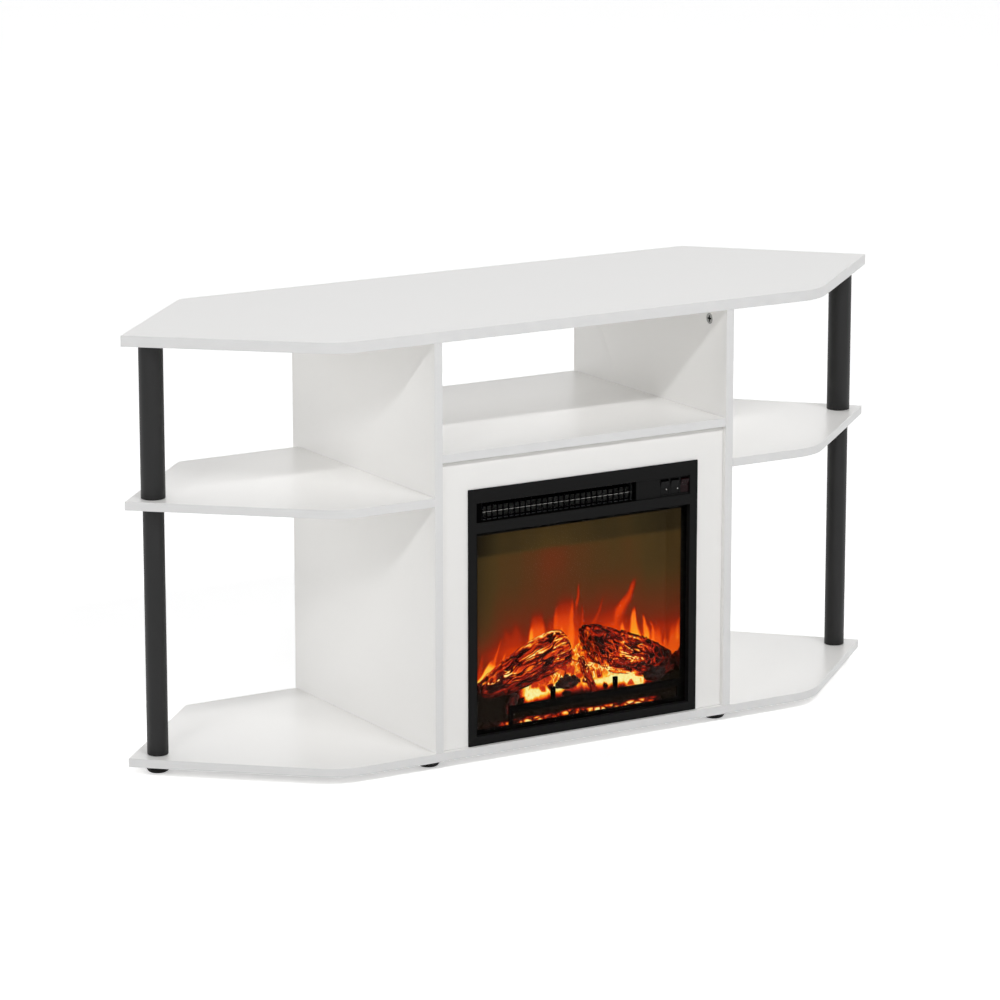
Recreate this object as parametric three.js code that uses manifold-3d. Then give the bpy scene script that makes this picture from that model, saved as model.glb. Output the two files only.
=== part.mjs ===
// Corner television stand with an electric fireplace insert.
// Millimetres, X to the right, Y to the back, Z up.
// The origin is on the floor, below the middle of the stand.

import * as THREE from 'three';
import { mergeVertices } from 'three/addons/utils/BufferGeometryUtils.js';
import Module from 'manifold-3d';

// Stand
const standWidth = 1200;
const standDepth = 394;
const standHeight = 600;
const frontEdgeWidth = 762; // between the front corners, before they are rounded
const backEdgeWidth = 824;
const frontCornerRadius = 80;
const topThickness = 15;
const boardThickness = 12;
const footHeight = 12;

// Dividers and shelves
const bayWidth = 452; // clear width between the dividers
const dividerInset = 1; // divider edges behind the edges of the top
const sideShelfHeight = 376.5; // top face above the floor
const sideShelfSetback = 15; // back edge in front of the edge of the top
const sideShelfInset = 1.5;
const upperBayHeight = 151; // clear height between the centre shelf and the top
const panelSetback = 8; // front panel behind the edge of the top
const panelShadowGap = 2; // below the centre shelf
const panelThickness = 12;

// Clearances
const jointGap = 0.1; // between faces that are screwed or laid together
const slideGap = 0.3; // around a pin, bolt or edge in its hole or slot
const overrun = 2; // by which a cut passes the face that it opens

// Tubes and the studs that join them through the boards
const tubeInset = 44; // axis in from the end of the top
const upperTubeRadius = 16.5;
const lowerTubeRadius = 14.4;
const tubeWall = 1.6;
const tubePlugDepth = 16;
const tubeEdgeRound = 1.2;
const studRadius = 5;
const studReach = 14; // into each tube
const studTopReach = 10; // into the top board
const studChamfer = 1;

// Feet and the screws through them
const footTopRadius = 18.5;
const footBottomRadius = 13;
const footRimHeight = 3;
const dividerFootInset = 32; // axis in from the front and back edges
const screwRadius = 2;
const screwHeadRadius = 4.2;
const screwHeadHeight = 2.6;
const screwSeatHeight = 6; // head seat above the floor
const screwDepth = 26; // into the divider
const screwTipLength = 4;

// Cam locks between the dividers and the top
const camInset = 44; // axis in from the front and back edges
const camDrop = 18.5; // axis below the top of the divider
const camRadius = 7.5;
const camDepth = 9.3;
const camSlotWidth = 2.2;
const camSlotLength = 9;
const camSlotDepth = 1.4;
const boltRadius = 2.5;
const boltDepth = 10; // into the top board
const boltNeckRadius = 1.9;
const boltCollarRadius = 3.2;
const boltCollarHeight = 3;
const boltHeadRadius = 3.1;
const boltHeadHeight = 3.4;

// Insert, trim and glass
const trimSideMargin = 42.5; // between the trim and each divider
const trimTopMargin = 40.5; // between the trim and the top of the front panel
const trimThickness = 2.5;
const trimSideBar = 12.5;
const trimBottomBar = 12.5;
const trimTopBar = 19.5;
const bandStripHeight = 14.5; // strip between the glass and the outlet
const bandHeight = 27;
const trimLipDepth = 5.5; // lip round the glass opening, behind the trim plate
const trimLipThickness = 1.5;
const glassThickness = 3;
const glassMargin = 2.8; // glass beyond its opening, above and below

// Insert housing
const trimSideOverlap = 8.5; // trim beyond each side of the housing
const trimTopOverlap = 7.5; // trim above the housing
const housingDepth = 148;
const sheetThickness = 1;
const deckDrop = 7; // underside of the deck below the outlet band
const cutoutGap = 1.5; // between the housing and the panel's cut-out
const ventSlotLength = 40;
const ventSlotHeight = 4;
const ventSlotPitch = 11;
const ventColumnPitch = 56;
const ventColumns = 5;
const ventRows = 3;
const upperVentRise = 9; // lowest slot of the upper field, above the deck
const lowerVentHeight = 42; // lowest slot of the lower field, above the insert's floor

// Outlet grille and heater
const outletMargin = 9; // left end of the outlet, in from the end of the band
const controlRoom = 89; // right end of the outlet, in from the end of the band
const grilleThickness = 2;
const grilleMargin = 2.2; // plates beyond the band opening
const grilleBarCount = 27;
const grilleBarWidth = 1.2;
const grilleWireHeight = 1.4;
const heaterDepth = 9;
const heaterFinCount = 17;
const heaterFinWidth = 1.2;
const heaterCoreHeight = 4;
const heaterRailHeight = 1.6;
const heaterSetback = 5; // behind the grille

// Cross-flow blower
const cheekThickness = 1.2;
const wheelRadius = 15;
const wheelHubRadius = 5;
const wheelBladeCount = 14;
const wheelBladeDepth = 5;
const wheelBladeThickness = 0.9;
const wheelBladeSweep = 28; // degrees between its inner and outer edge
const wheelBladeSteps = 2;
const wheelRingThickness = 1.6;
const wheelEndGap = 3; // between the wheel and each cheek
const wheelAxisDepth = 62; // behind the front of the trim
const scrollGap = 3; // between the wheel and the scroll
const scrollWall = 1;
const scrollRise = 3; // scroll above the deck
const scrollFloorSpan = [-110, 35]; // degrees about the wheel, from its depth axis
const scrollFloorSteps = 10;
const scrollNoseSpan = [150, 140]; // degrees about the wheel, underside and front of the tongue
const cheekCornerRadius = 7.5;
const shaftRadius = 2.2;
const motorRadius = 16;
const motorLength = 24;
const motorBearingRadius = 6;
const motorBearingLength = 3;
const motorShaftBore = 8; // depth of the bore that takes a shaft
const motorFootWidth = 20;

// Control plate and rocker switches
const rockerCount = 3;
const rockerWidth = 13;
const rockerSpacing = 3.5; // between two rockers
const rockerHeight = 19;
const rockerWindowGap = 0.3; // at each side of a rocker
const rockerWindowRise = 1.6; // above and below a rocker
const rockerPivotDepth = 6.5; // pivot behind the front of the plate
const rockerFrontDepth = 6; // face in front of the pivot, at the middle
const rockerDish = 1.6; // ends of the face in front of its middle
const rockerBodyDepth = 5;
const rockerPinRadius = 1.2;
const rockerPinLength = 1.1;
const rockerHubRadius = 2.6;
const rockerTilt = 8; // degrees to each side
const controlRibDepth = 12;
const controlRibHeight = 14;

// Flame screen, flicker rotor and light board
const screenDepth = 64; // behind the front of the trim
const screenThickness = 2;
const lightSlotHeight = 14;
const lightMargin = 24; // light board and its slot, in from the walls of the chamber
const rotorScreenGap = 15; // between the rotor and the screen
const rotorAxisHeight = 48;
const rotorRadius = 11;
const rotorCoreRadius = 3;
const rotorFinCount = 4;
const rotorEndRoom = 39; // between the rotor and each wall of the chamber
const rotorSteps = 18;
const rotorTurns = 1.5;
const rotorShaftReach = 6;
const rotorMotorRadius = 20;
const rotorMotorLength = 16;
const bearingPostWidth = 12;
const bearingPostThickness = 3;
const bearingFootLength = 14;
const lightBoardDepth = 14;
const lightBoardThickness = 1.6;
const lightBoardSetback = 3; // behind the screen
const standoffHeight = 5;
const standoffRadius = 2.5;
const lampCount = 8;
const lampRadius = 2.5;
const lampHeight = 3;

// Ember bed, logs and grate
const bedFront = 18; // behind the front of the trim
const bedScreenGap = 2; // between the bed and the screen
const bedFrontHeight = 28;
const bedBackHeight = 44;
const bedBumpHeight = 4;
const bedWaves = [[7, 2], [12, -5]]; // turns per bed depth along the bed and per its depth share
const bedColumns = 20;
const bedRows = 5;
const logSides = 10;
const logStepsPerStation = 2;
const barkDepthShare = 0.14;
const barkRidges = 3; // round a log
const grateFront = 12.4;
const grateThickness = 4;
const grateBarHeight = 11;
const grateBarBase = 33.5; // underside of the bar above the insert's floor
const grateEndShares = [-0.644, 0.966]; // of the chamber's half width
const grateLegWidth = 7;
const gratePostWidth = 7;
const gratePostHeight = 17;
const gratePostPlaceShares = [0.24, 0.6];

// Ends are shares of the chamber's half width, depth and half depth are shares of the bed's depth,
// and heights are above the insert's floor. Each station holds shares of the run, the rise, the
// half height and the half depth.
const leftLog = {
  endShares: [-0.862, -0.0575], heights: [66, 106], tall: 27, depthShare: 0.477, deepShare: 0.477,
  shares: [
    [0, 0, 0.34, 0.5], [0.13, 0.14, 0.6, 0.75], [0.33, 0.34, 0.86, 0.92],
    [0.56, 0.56, 0.97, 1], [0.8, 0.82, 1, 1], [1, 1, 0.92, 0.95],
  ],
};
const rightLog = {
  endShares: [0.1264, 0.954], heights: [112, 60], tall: 31, depthShare: 0.477, deepShare: 0.477,
  shares: [
    [0, 0, 0.86, 0.9], [0.14, 0.2, 0.96, 0.95], [0.36, 0.38, 1, 1],
    [0.6, 0.6, 0.9, 0.93], [0.83, 0.84, 0.7, 0.8], [1, 1, 0.45, 0.57],
  ],
};
const twig = {
  endShares: [0.069, 0.178], heights: [92, 42], tall: 6, depthShare: 0.182, deepShare: 0.136,
  shares: [[0, 0, 0.9, 1], [0.3, 0.33, 0.9, 0.9], [0.7, 0.7, 1, 0.9], [1, 1, 1, 1]],
};
const charredLump = {
  endShares: [-0.264, -0.046], heights: [50, 54], tall: 12, depthShare: 0.227, deepShare: 0.182,
  shares: [[0, 0, 0.55, 0.75], [0.5, 1, 1, 1], [1, 0.8, 0.6, 0.8]],
};

// Brackets and cord gland
const bracketLeg = 26;
const bracketThickness = 2;
const bracketLength = 70;
const bracketHoleRadius = 2.4;
const bracketHolePitch = 40;
const bracketHeight = 160; // lower end above the insert's floor
const glandRadius = 9;
const glandNeckRadius = 6.5;
const glandBoreRadius = 3.6;
const glandFlange = 2.5;
const glandTail = 8;
const glandInset = 35; // axis in from the side of the housing
const glandHeight = 30;

// Facets of round shapes
const tubeSides = 24;
const footSides = 16;
const pinSides = 10;
const glandSides = 12;
const lampSides = 8;
const cornerSteps = 8;
const smallCornerSteps = 3;
const slotEndSteps = 1;

// Places that follow from the sizes above
const halfWidth = standWidth / 2;
const halfDepth = standDepth / 2;
const baseTop = footHeight + boardThickness;
const topUnderside = standHeight - topThickness;
const dividerInner = bayWidth / 2;
const dividerOuter = dividerInner + boardThickness;
const dividerMiddle = dividerInner + boardThickness / 2;
const tubeX = halfWidth - tubeInset;
const panelFront = panelSetback - halfDepth;
const centreShelfHeight = topUnderside - upperBayHeight;
const panelTop = centreShelfHeight - boardThickness - panelShadowGap;
const dividerFootY = halfDepth - dividerFootInset;
const camY = halfDepth - camInset;
const camHeight = topUnderside - camDrop;

// Places in the insert's frame
const trimHalf = dividerInner - trimSideMargin;
const trimHeight = panelTop - baseTop - trimTopMargin;
const openingHalf = trimHalf - trimSideBar;
const bandHigh = trimHeight - trimTopBar;
const bandLow = bandHigh - bandHeight;
const glassTop = bandLow - bandStripHeight;
const housingHalf = trimHalf - trimSideOverlap;
const housingHeight = trimHeight - trimTopOverlap;
const chamberHalf = housingHalf - sheetThickness;
const deckHeight = bandLow - deckDrop;
const housingFront = trimThickness + jointGap;
const housingBack = housingFront + housingDepth;
const floorTop = jointGap + sheetThickness;
const deckTop = deckHeight + sheetThickness;
const ceiling = housingHeight - sheetThickness;
const glandX = glandInset - housingHalf;

const wasm = await Module();
wasm.setup();

const whiteBoard = new THREE.MeshStandardMaterial({ color: '#ebebea', roughness: 0.45 });
const blackTube = new THREE.MeshStandardMaterial({ color: '#2b2b2b', roughness: 0.6 });
const blackPlastic = new THREE.MeshStandardMaterial({ color: '#161616', roughness: 0.5 });
const blackSteel = new THREE.MeshStandardMaterial({ color: '#1b1b1b', roughness: 0.45, metalness: 0.3 });
const zincSteel = new THREE.MeshStandardMaterial({ color: '#a9a9a6', roughness: 0.35, metalness: 0.9 });
const darkGlass = new THREE.MeshStandardMaterial({ color: '#20160f', roughness: 0.08 });
const smokyScreen = new THREE.MeshStandardMaterial({ color: '#4a2c18', roughness: 0.2 });
const bark = new THREE.MeshStandardMaterial({ color: '#4a1f10', roughness: 0.85 });
const ember = new THREE.MeshStandardMaterial({ color: '#d2541a', roughness: 0.8 });
const greenBoard = new THREE.MeshStandardMaterial({ color: '#2f4a34', roughness: 0.6 });

// Turns a closed three.js geometry into a solid that can be cut and joined.
function toSolid(geometry) {
  const bare = geometry.clone();
  bare.deleteAttribute('normal');
  bare.deleteAttribute('uv');
  const merged = mergeVertices(bare);
  const index = merged.index ?? [...Array(merged.attributes.position.count).keys()];
  return new wasm.Manifold(new wasm.Mesh({
    numProp: 3,
    vertProperties: new Float32Array(merged.attributes.position.array),
    triVerts: new Uint32Array(index.array ?? index),
  }));
}

function toGeometry(solid) {
  const mesh = solid.getMesh();
  const geometry = new THREE.BufferGeometry();
  geometry.setAttribute('position', new THREE.BufferAttribute(new Float32Array(mesh.vertProperties), 3));
  geometry.setIndex(new THREE.BufferAttribute(new Uint32Array(mesh.triVerts), 1));
  return geometry;
}

function join(...geometries) {
  return toGeometry(geometries.map(toSolid).reduce((whole, next) => whole.add(next)));
}

function cut(geometry, ...tools) {
  return toGeometry(tools.map(toSolid).reduce((rest, tool) => rest.subtract(tool), toSolid(geometry)));
}

// A box between two opposite corners.
function block(low, high) {
  const size = high.map((value, axis) => value - low[axis]);
  const geometry = new THREE.BoxGeometry(...size);
  return geometry.translate(...high.map((value, axis) => (value + low[axis]) / 2));
}

// A cylinder along X, Y or Z that starts at a point and runs on by its length.
function rod(axis, radius, start, length, sides = pinSides) {
  const geometry = new THREE.CylinderGeometry(radius, radius, length, sides);
  geometry.translate(0, length / 2, 0);
  if (axis === 'x') geometry.rotateZ(-Math.PI / 2);
  if (axis === 'z') geometry.rotateX(Math.PI / 2);
  return geometry.translate(...start);
}

// A turned piece about Z from pairs of radius and height, listed from the bottom up on the outside.
function turned(profile, sides = footSides) {
  const points = profile.map(([radius, height]) => new THREE.Vector2(radius, height));
  return new THREE.LatheGeometry(points, sides).rotateX(Math.PI / 2);
}

// The points of an outline whose corners are [x, y, radius], counterclockwise.
function roundedOutline(corners, steps = cornerSteps) {
  return corners.flatMap(([x, y, radius], place) => {
    if (!radius) return [new THREE.Vector2(x, y)];
    const corner = new THREE.Vector2(x, y);
    const [before, after] = [-1, 1].map((step) => {
      const [nextX, nextY] = corners[(place + step + corners.length) % corners.length];
      return new THREE.Vector2(nextX, nextY).sub(corner).normalize();
    });
    const halfAngle = Math.acos(before.dot(after)) / 2;
    const middle = before.clone().add(after).normalize();
    const centre = corner.clone().addScaledVector(middle, radius / Math.sin(halfAngle));
    const sweep = Math.PI - 2 * halfAngle;
    const start = centre.clone().addScaledVector(middle, -radius);
    return Array.from({ length: steps + 1 }, (_, step) => {
      const turn = sweep * (step / steps - 1 / 2);
      return start.clone().rotateAround(centre, turn);
    });
  });
}

// A plate of an outline in X and Y with cut-outs, thick along Z from zero up.
function plate(outline, thickness, holes = []) {
  const prism = (points, depth) => (
    new THREE.ExtrudeGeometry(new THREE.Shape(points), { depth, bevelEnabled: false })
  );
  const solid = prism(outline, thickness);
  if (!holes.length) return solid;
  const tools = holes.map((hole) => prism(hole, thickness + 2 * overrun).translate(0, 0, -overrun));
  return cut(solid, ...tools);
}

// The same, with the outline in X and Z and the thickness along Y from zero to the back.
function upright(outline, thickness, holes = []) {
  return plate(outline, thickness, holes).rotateX(Math.PI / 2).translate(0, thickness, 0);
}

// The same, with the outline in Y and Z and the thickness along X from zero to the right.
function sideways(outline, thickness, holes = []) {
  return plate(outline, thickness, holes).rotateY(Math.PI / 2).rotateX(Math.PI / 2);
}

function rectangle(left, bottom, right, top) {
  const corners = [[left, bottom], [right, bottom], [right, top], [left, top]];
  return corners.map(([x, y]) => new THREE.Vector2(x, y));
}

// A skin over rings of points with flat ends, closed into one body.
function loft(rings) {
  const count = rings[0].length;
  const points = rings.flat();
  const faces = [];
  for (let ring = 0; ring + 1 < rings.length; ring += 1) {
    for (let side = 0; side < count; side += 1) {
      const here = ring * count + side;
      const next = ring * count + (side + 1) % count;
      faces.push(here, next, here + count, next, next + count, here + count);
    }
  }
  const last = (rings.length - 1) * count;
  [[0, true], [last, false]].forEach(([first, flipped]) => {
    const centre = new THREE.Vector3();
    for (let side = 0; side < count; side += 1) centre.add(points[first + side]);
    points.push(centre.divideScalar(count));
    const middle = points.length - 1;
    for (let side = 0; side < count; side += 1) {
      const here = first + side;
      const next = first + (side + 1) % count;
      faces.push(middle, flipped ? next : here, flipped ? here : next);
    }
  });
  const geometry = new THREE.BufferGeometry().setFromPoints(points);
  geometry.setIndex(faces);
  return geometry;
}

function addPiece(parent, name, geometry, material, place = [0, 0, 0]) {
  const shown = geometry.index ? geometry.toNonIndexed() : geometry;
  shown.computeVertexNormals();
  const mesh = new THREE.Mesh(shown, material);
  mesh.name = name;
  mesh.position.set(...place);
  parent.add(mesh);
  return mesh;
}

const bothSides = [['left', -1], ['right', 1]];
const bothEnds = [['front', -1], ['back', 1]];

// Boards

// The outline that the top and the base share.
function standOutline() {
  const front = frontEdgeWidth / 2;
  const back = backEdgeWidth / 2;
  return roundedOutline([
    [-halfWidth, 0, 0],
    [-front, -halfDepth, frontCornerRadius],
    [front, -halfDepth, frontCornerRadius],
    [halfWidth, 0, 0],
    [back, halfDepth, 0],
    [-back, halfDepth, 0],
  ]);
}

// A side shelf follows it past the divider, a little inside its edge.
function sideShelfOutline(side) {
  const inner = dividerOuter + jointGap;
  const end = halfWidth - sideShelfInset;
  const backY = halfDepth - sideShelfSetback;
  const backX = end - (halfWidth - backEdgeWidth / 2) * backY / halfDepth;
  const corners = [
    [inner, -halfDepth, 0],
    [frontEdgeWidth / 2 - sideShelfInset, -halfDepth, frontCornerRadius],
    [end, 0, 0],
    [backX, backY, 0],
    [inner, backY, 0],
  ];
  const placed = corners.map(([x, y, radius]) => [x * side, y, radius]);
  return roundedOutline(side > 0 ? placed : placed.reverse());
}

function makeTopBoard() {
  const studHoles = bothSides.map(([, side]) => rod(
    'z', studRadius + slideGap, [side * tubeX, 0, -overrun], studTopReach + slideGap + overrun,
  ));
  const boltHoles = bothSides.flatMap(([, side]) => bothEnds.map(([, end]) => rod(
    'z', boltRadius + slideGap, [side * dividerMiddle, end * camY, -overrun], boltDepth + slideGap + overrun,
  )));
  return cut(plate(standOutline(), topThickness), ...studHoles, ...boltHoles);
}

function makeBaseBoard() {
  const through = boardThickness + 2 * overrun;
  const studHoles = bothSides.map(([, side]) => rod(
    'z', studRadius + slideGap, [side * tubeX, 0, -overrun], through,
  ));
  const screwHoles = bothSides.flatMap(([, side]) => bothEnds.map(([, end]) => rod(
    'z', screwRadius + slideGap, [side * dividerMiddle, end * dividerFootY, -overrun], through,
  )));
  return cut(plate(standOutline(), boardThickness), ...studHoles, ...screwHoles);
}

// A divider stands on z = 0 with its inner face on x = 0 and its body towards side * x.
function makeDivider(side) {
  const height = topUnderside - baseTop - 2 * jointGap;
  const reach = halfDepth - dividerInset;
  const low = [Math.min(0, side * boardThickness), -reach, 0];
  const high = [Math.max(0, side * boardThickness), reach, height];
  const middle = side * boardThickness / 2;
  const tools = bothEnds.flatMap(([, end]) => {
    const camZ = camHeight - baseTop - jointGap;
    const pocketStart = side > 0 ? -overrun : -camDepth - slideGap;
    const pocket = rod('x', camRadius + slideGap, [pocketStart, end * camY, camZ],
      camDepth + slideGap + overrun, footSides);
    const boltBore = rod('z', boltCollarRadius + slideGap, [middle, end * camY, camZ], camDrop + overrun);
    const screwBore = rod('z', screwRadius + slideGap, [middle, end * dividerFootY, -overrun],
      screwDepth + slideGap + overrun);
    return [pocket, boltBore, screwBore];
  });
  return cut(block(low, high), ...tools);
}

function makeSideShelf(side) {
  const hole = rod('z', studRadius + slideGap, [side * tubeX, 0, -overrun], boardThickness + 2 * overrun);
  return cut(plate(sideShelfOutline(side), boardThickness), hole);
}

function makeCentreShelf() {
  const reachX = dividerInner - jointGap;
  const reachY = halfDepth - dividerInset;
  return block([-reachX, -reachY, 0], [reachX, reachY, boardThickness]);
}

// The front panel is an arch: its cut-out for the insert is open at the bottom.
function makeFrontPanel() {
  const outer = dividerInner - jointGap;
  const inner = housingHalf + cutoutGap;
  const top = panelTop - baseTop;
  const cutoutTop = housingHeight + cutoutGap;
  const outline = [
    [-outer, jointGap], [-inner, jointGap], [-inner, cutoutTop], [inner, cutoutTop],
    [inner, jointGap], [outer, jointGap], [outer, top], [-outer, top],
  ].map(([x, z]) => new THREE.Vector2(x, z));
  return upright(outline, panelThickness);
}

// Tubes, studs and feet

// A tube with its pressed-in end plugs, bored for the studs, standing on z = 0.
function makeTube(radius, length) {
  const bore = studRadius + slideGap;
  const inside = radius - tubeWall;
  const plugTop = length - tubePlugDepth;
  return turned([
    [bore, 0],
    [radius - tubeEdgeRound, 0],
    [radius, tubeEdgeRound],
    [radius, length - tubeEdgeRound],
    [radius - tubeEdgeRound, length],
    [bore, length],
    [bore, plugTop],
    [inside, plugTop],
    [inside, tubePlugDepth],
    [bore, tubePlugDepth],
    [bore, 0],
  ], tubeSides);
}

// A round stud between two heights, with chamfered ends.
function makeStud(low, high) {
  const tip = studRadius - studChamfer;
  return turned([
    [0, low],
    [tip, low],
    [studRadius, low + studChamfer],
    [studRadius, high - studChamfer],
    [tip, high],
    [0, high],
  ], pinSides);
}

// The foot below a tube carries a stud that passes the base and enters the tube.
function makeTubeFoot() {
  const studTop = baseTop + studReach;
  return turned([
    [0, 0],
    [footBottomRadius, 0],
    [footTopRadius, footHeight - footRimHeight],
    [footTopRadius, footHeight - jointGap],
    [studRadius, footHeight - jointGap],
    [studRadius, studTop - studChamfer],
    [studRadius - studChamfer, studTop],
    [0, studTop],
  ]);
}

// The foot below a divider is bored for its screw.
function makeDividerFoot() {
  const bore = screwRadius + slideGap;
  const headBore = screwHeadRadius + slideGap;
  return turned([
    [headBore, 0],
    [footBottomRadius, 0],
    [footTopRadius, footHeight - footRimHeight],
    [footTopRadius, footHeight - jointGap],
    [bore, footHeight - jointGap],
    [bore, screwSeatHeight],
    [headBore, screwSeatHeight],
    [headBore, 0],
  ]);
}

function makeFootScrew() {
  const seat = screwSeatHeight - jointGap;
  const tip = baseTop + screwDepth;
  return turned([
    [0, seat - screwHeadHeight],
    [screwHeadRadius, seat - screwHeadHeight],
    [screwHeadRadius, seat],
    [screwRadius, seat],
    [screwRadius, tip - screwTipLength],
    [0, tip],
  ], pinSides);
}

// Cam lock and bolt

// The lock lies along X from its slotted face on x = 0, and side tells which way it goes in.
function makeCamLock(side) {
  const along = (near, far) => [near, far].map((depth) => side * depth).sort((a, b) => a - b);
  const [discLow, discHigh] = along(0, camDepth);
  const disc = rod('x', camRadius, [discLow, 0, 0], discHigh - discLow, footSides);
  const [slotLow, slotHigh] = along(-overrun, camSlotDepth);
  const slots = [[camSlotLength, camSlotWidth], [camSlotWidth, camSlotLength]].map(([sizeY, sizeZ]) => (
    block([slotLow, -sizeY / 2, -sizeZ / 2], [slotHigh, sizeY / 2, sizeZ / 2])
  ));
  const middle = boardThickness / 2;
  const headRoom = boltHeadRadius + slideGap;
  const [headLow, headHigh] = along(middle - headRoom, camDepth + overrun);
  const headReach = boltHeadHeight / 2 + slideGap;
  const headCut = block([headLow, -headRoom, -headReach], [headHigh, headRoom, headReach]);
  const neckRoom = boltNeckRadius + slideGap;
  const [neckLow, neckHigh] = along(middle - neckRoom, camDepth + overrun);
  const neckCut = block([neckLow, -neckRoom, 0], [neckHigh, neckRoom, camRadius + overrun]);
  return cut(disc, ...slots, headCut, neckCut);
}

// The bolt hangs from the top board, with its head in the lock at z = 0.
function makeCamBolt() {
  const collarLow = camDrop - boltCollarHeight;
  return turned([
    [0, -boltHeadHeight / 2],
    [boltHeadRadius, -boltHeadHeight / 2],
    [boltHeadRadius, boltHeadHeight / 2],
    [boltNeckRadius, boltHeadHeight / 2],
    [boltNeckRadius, collarLow],
    [boltCollarRadius, collarLow],
    [boltCollarRadius, camDrop - jointGap],
    [boltRadius, camDrop - jointGap],
    [boltRadius, camDrop + boltDepth],
    [0, camDrop + boltDepth],
  ], pinSides);
}

const stand = new THREE.Group();
const cabinet = new THREE.Group();
stand.add(cabinet);

addPiece(cabinet, 'top_board', makeTopBoard(), whiteBoard, [0, 0, topUnderside]);
addPiece(cabinet, 'base_board', makeBaseBoard(), whiteBoard, [0, 0, footHeight]);
addPiece(cabinet, 'centre_shelf', makeCentreShelf(), whiteBoard, [0, 0, centreShelfHeight - boardThickness]);
addPiece(cabinet, 'front_panel', makeFrontPanel(), whiteBoard, [0, panelFront, baseTop]);

bothSides.forEach(([name, side]) => {
  const shelfUnderside = sideShelfHeight - boardThickness;
  addPiece(cabinet, `${name}_divider`, makeDivider(side), whiteBoard,
    [side * dividerInner, 0, baseTop + jointGap]);
  addPiece(cabinet, `${name}_shelf`, makeSideShelf(side), whiteBoard, [0, 0, shelfUnderside]);

  const column = new THREE.Group();
  column.position.x = side * tubeX;
  cabinet.add(column);
  const lowerLength = shelfUnderside - baseTop - 2 * jointGap;
  const upperLength = topUnderside - sideShelfHeight - 2 * jointGap;
  addPiece(column, `${name}_tube_foot`, makeTubeFoot(), blackPlastic);
  addPiece(column, `lower_${name}_tube`, makeTube(lowerTubeRadius, lowerLength), blackTube,
    [0, 0, baseTop + jointGap]);
  addPiece(column, `${name}_shelf_stud`,
    makeStud(shelfUnderside - studReach, sideShelfHeight + studReach), zincSteel);
  addPiece(column, `upper_${name}_tube`, makeTube(upperTubeRadius, upperLength), blackTube,
    [0, 0, sideShelfHeight + jointGap]);
  addPiece(column, `${name}_top_stud`,
    makeStud(topUnderside - studReach, topUnderside + studTopReach), zincSteel);

  bothEnds.forEach(([end, sign]) => {
    const footPlace = [side * dividerMiddle, sign * dividerFootY, 0];
    const camPlace = [side * dividerInner, sign * camY, camHeight];
    const boltPlace = [side * dividerMiddle, sign * camY, camHeight];
    addPiece(cabinet, `${end}_${name}_foot`, makeDividerFoot(), blackPlastic, footPlace);
    addPiece(cabinet, `${end}_${name}_foot_screw`, makeFootScrew(), zincSteel, footPlace);
    addPiece(cabinet, `${end}_${name}_cam_lock`, makeCamLock(side), zincSteel, camPlace);
    addPiece(cabinet, `${end}_${name}_cam_bolt`, makeCamBolt(), zincSteel, boltPlace);
  });
});

// The insert has its own frame: y = 0 on the front of the trim, z = 0 on the base board.
const insert = new THREE.Group();
insert.position.set(0, panelFront - trimThickness, baseTop);
stand.add(insert);

// The trim is a plate with openings for the glass and the outlet band, with a lip round the glass.
function makeTrimFrame() {
  const face = upright(
    rectangle(-trimHalf, jointGap, trimHalf, trimHeight),
    trimThickness,
    [
      rectangle(-openingHalf, trimBottomBar, openingHalf, glassTop),
      rectangle(-openingHalf, bandLow, openingHalf, bandHigh),
    ],
  );
  const lipHalf = openingHalf + trimLipThickness;
  const lip = upright(
    rectangle(-lipHalf, trimBottomBar - trimLipThickness, lipHalf, glassTop + trimLipThickness),
    trimThickness / 2 + trimLipDepth,
    [rectangle(-openingHalf, trimBottomBar, openingHalf, glassTop)],
  ).translate(0, trimThickness / 2, 0);
  return join(face, lip);
}

function makeGlass() {
  const half = chamberHalf - slideGap;
  const low = trimBottomBar - glassMargin;
  return block([-half, 0, low], [half, glassThickness, glassTop + glassMargin]);
}

// The housing is folded sheet, open in front and at the back, with a deck across it.
function makeHousing() {
  const outer = rectangle(-housingHalf, jointGap, housingHalf, housingHeight);
  const chamber = rectangle(-chamberHalf, floorTop, chamberHalf, deckHeight);
  const heaterBay = rectangle(-chamberHalf, deckTop, chamberHalf, ceiling);
  return upright(outer, housingDepth, [chamber, heaterBay]);
}

// A slot with round ends, as an outline about its middle.
function slotOutline(x, z, length, height) {
  const radius = height / 2;
  const [right, top] = [length / 2, radius];
  return roundedOutline([
    [x - right, z - top, radius],
    [x + right, z - top, radius],
    [x + right, z + top, radius],
    [x - right, z + top, radius],
  ], slotEndSteps);
}

function makeBackCover() {
  const slots = [deckTop + upperVentRise, lowerVentHeight].flatMap((low) => (
    Array.from({ length: ventRows * ventColumns }, (_, index) => {
      const column = index % ventColumns - (ventColumns - 1) / 2;
      const row = Math.floor(index / ventColumns);
      return slotOutline(column * ventColumnPitch, low + row * ventSlotPitch, ventSlotLength, ventSlotHeight);
    })
  ));
  const glandHole = roundedOutline([[-1, -1], [1, -1], [1, 1], [-1, 1]].map(([x, z]) => {
    const radius = glandNeckRadius + slideGap;
    return [glandX + x * radius, glandHeight + z * radius, radius];
  }), smallCornerSteps);
  const outline = rectangle(-housingHalf, jointGap, housingHalf, housingHeight);
  return upright(outline, sheetThickness, [...slots, glandHole]);
}

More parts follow.
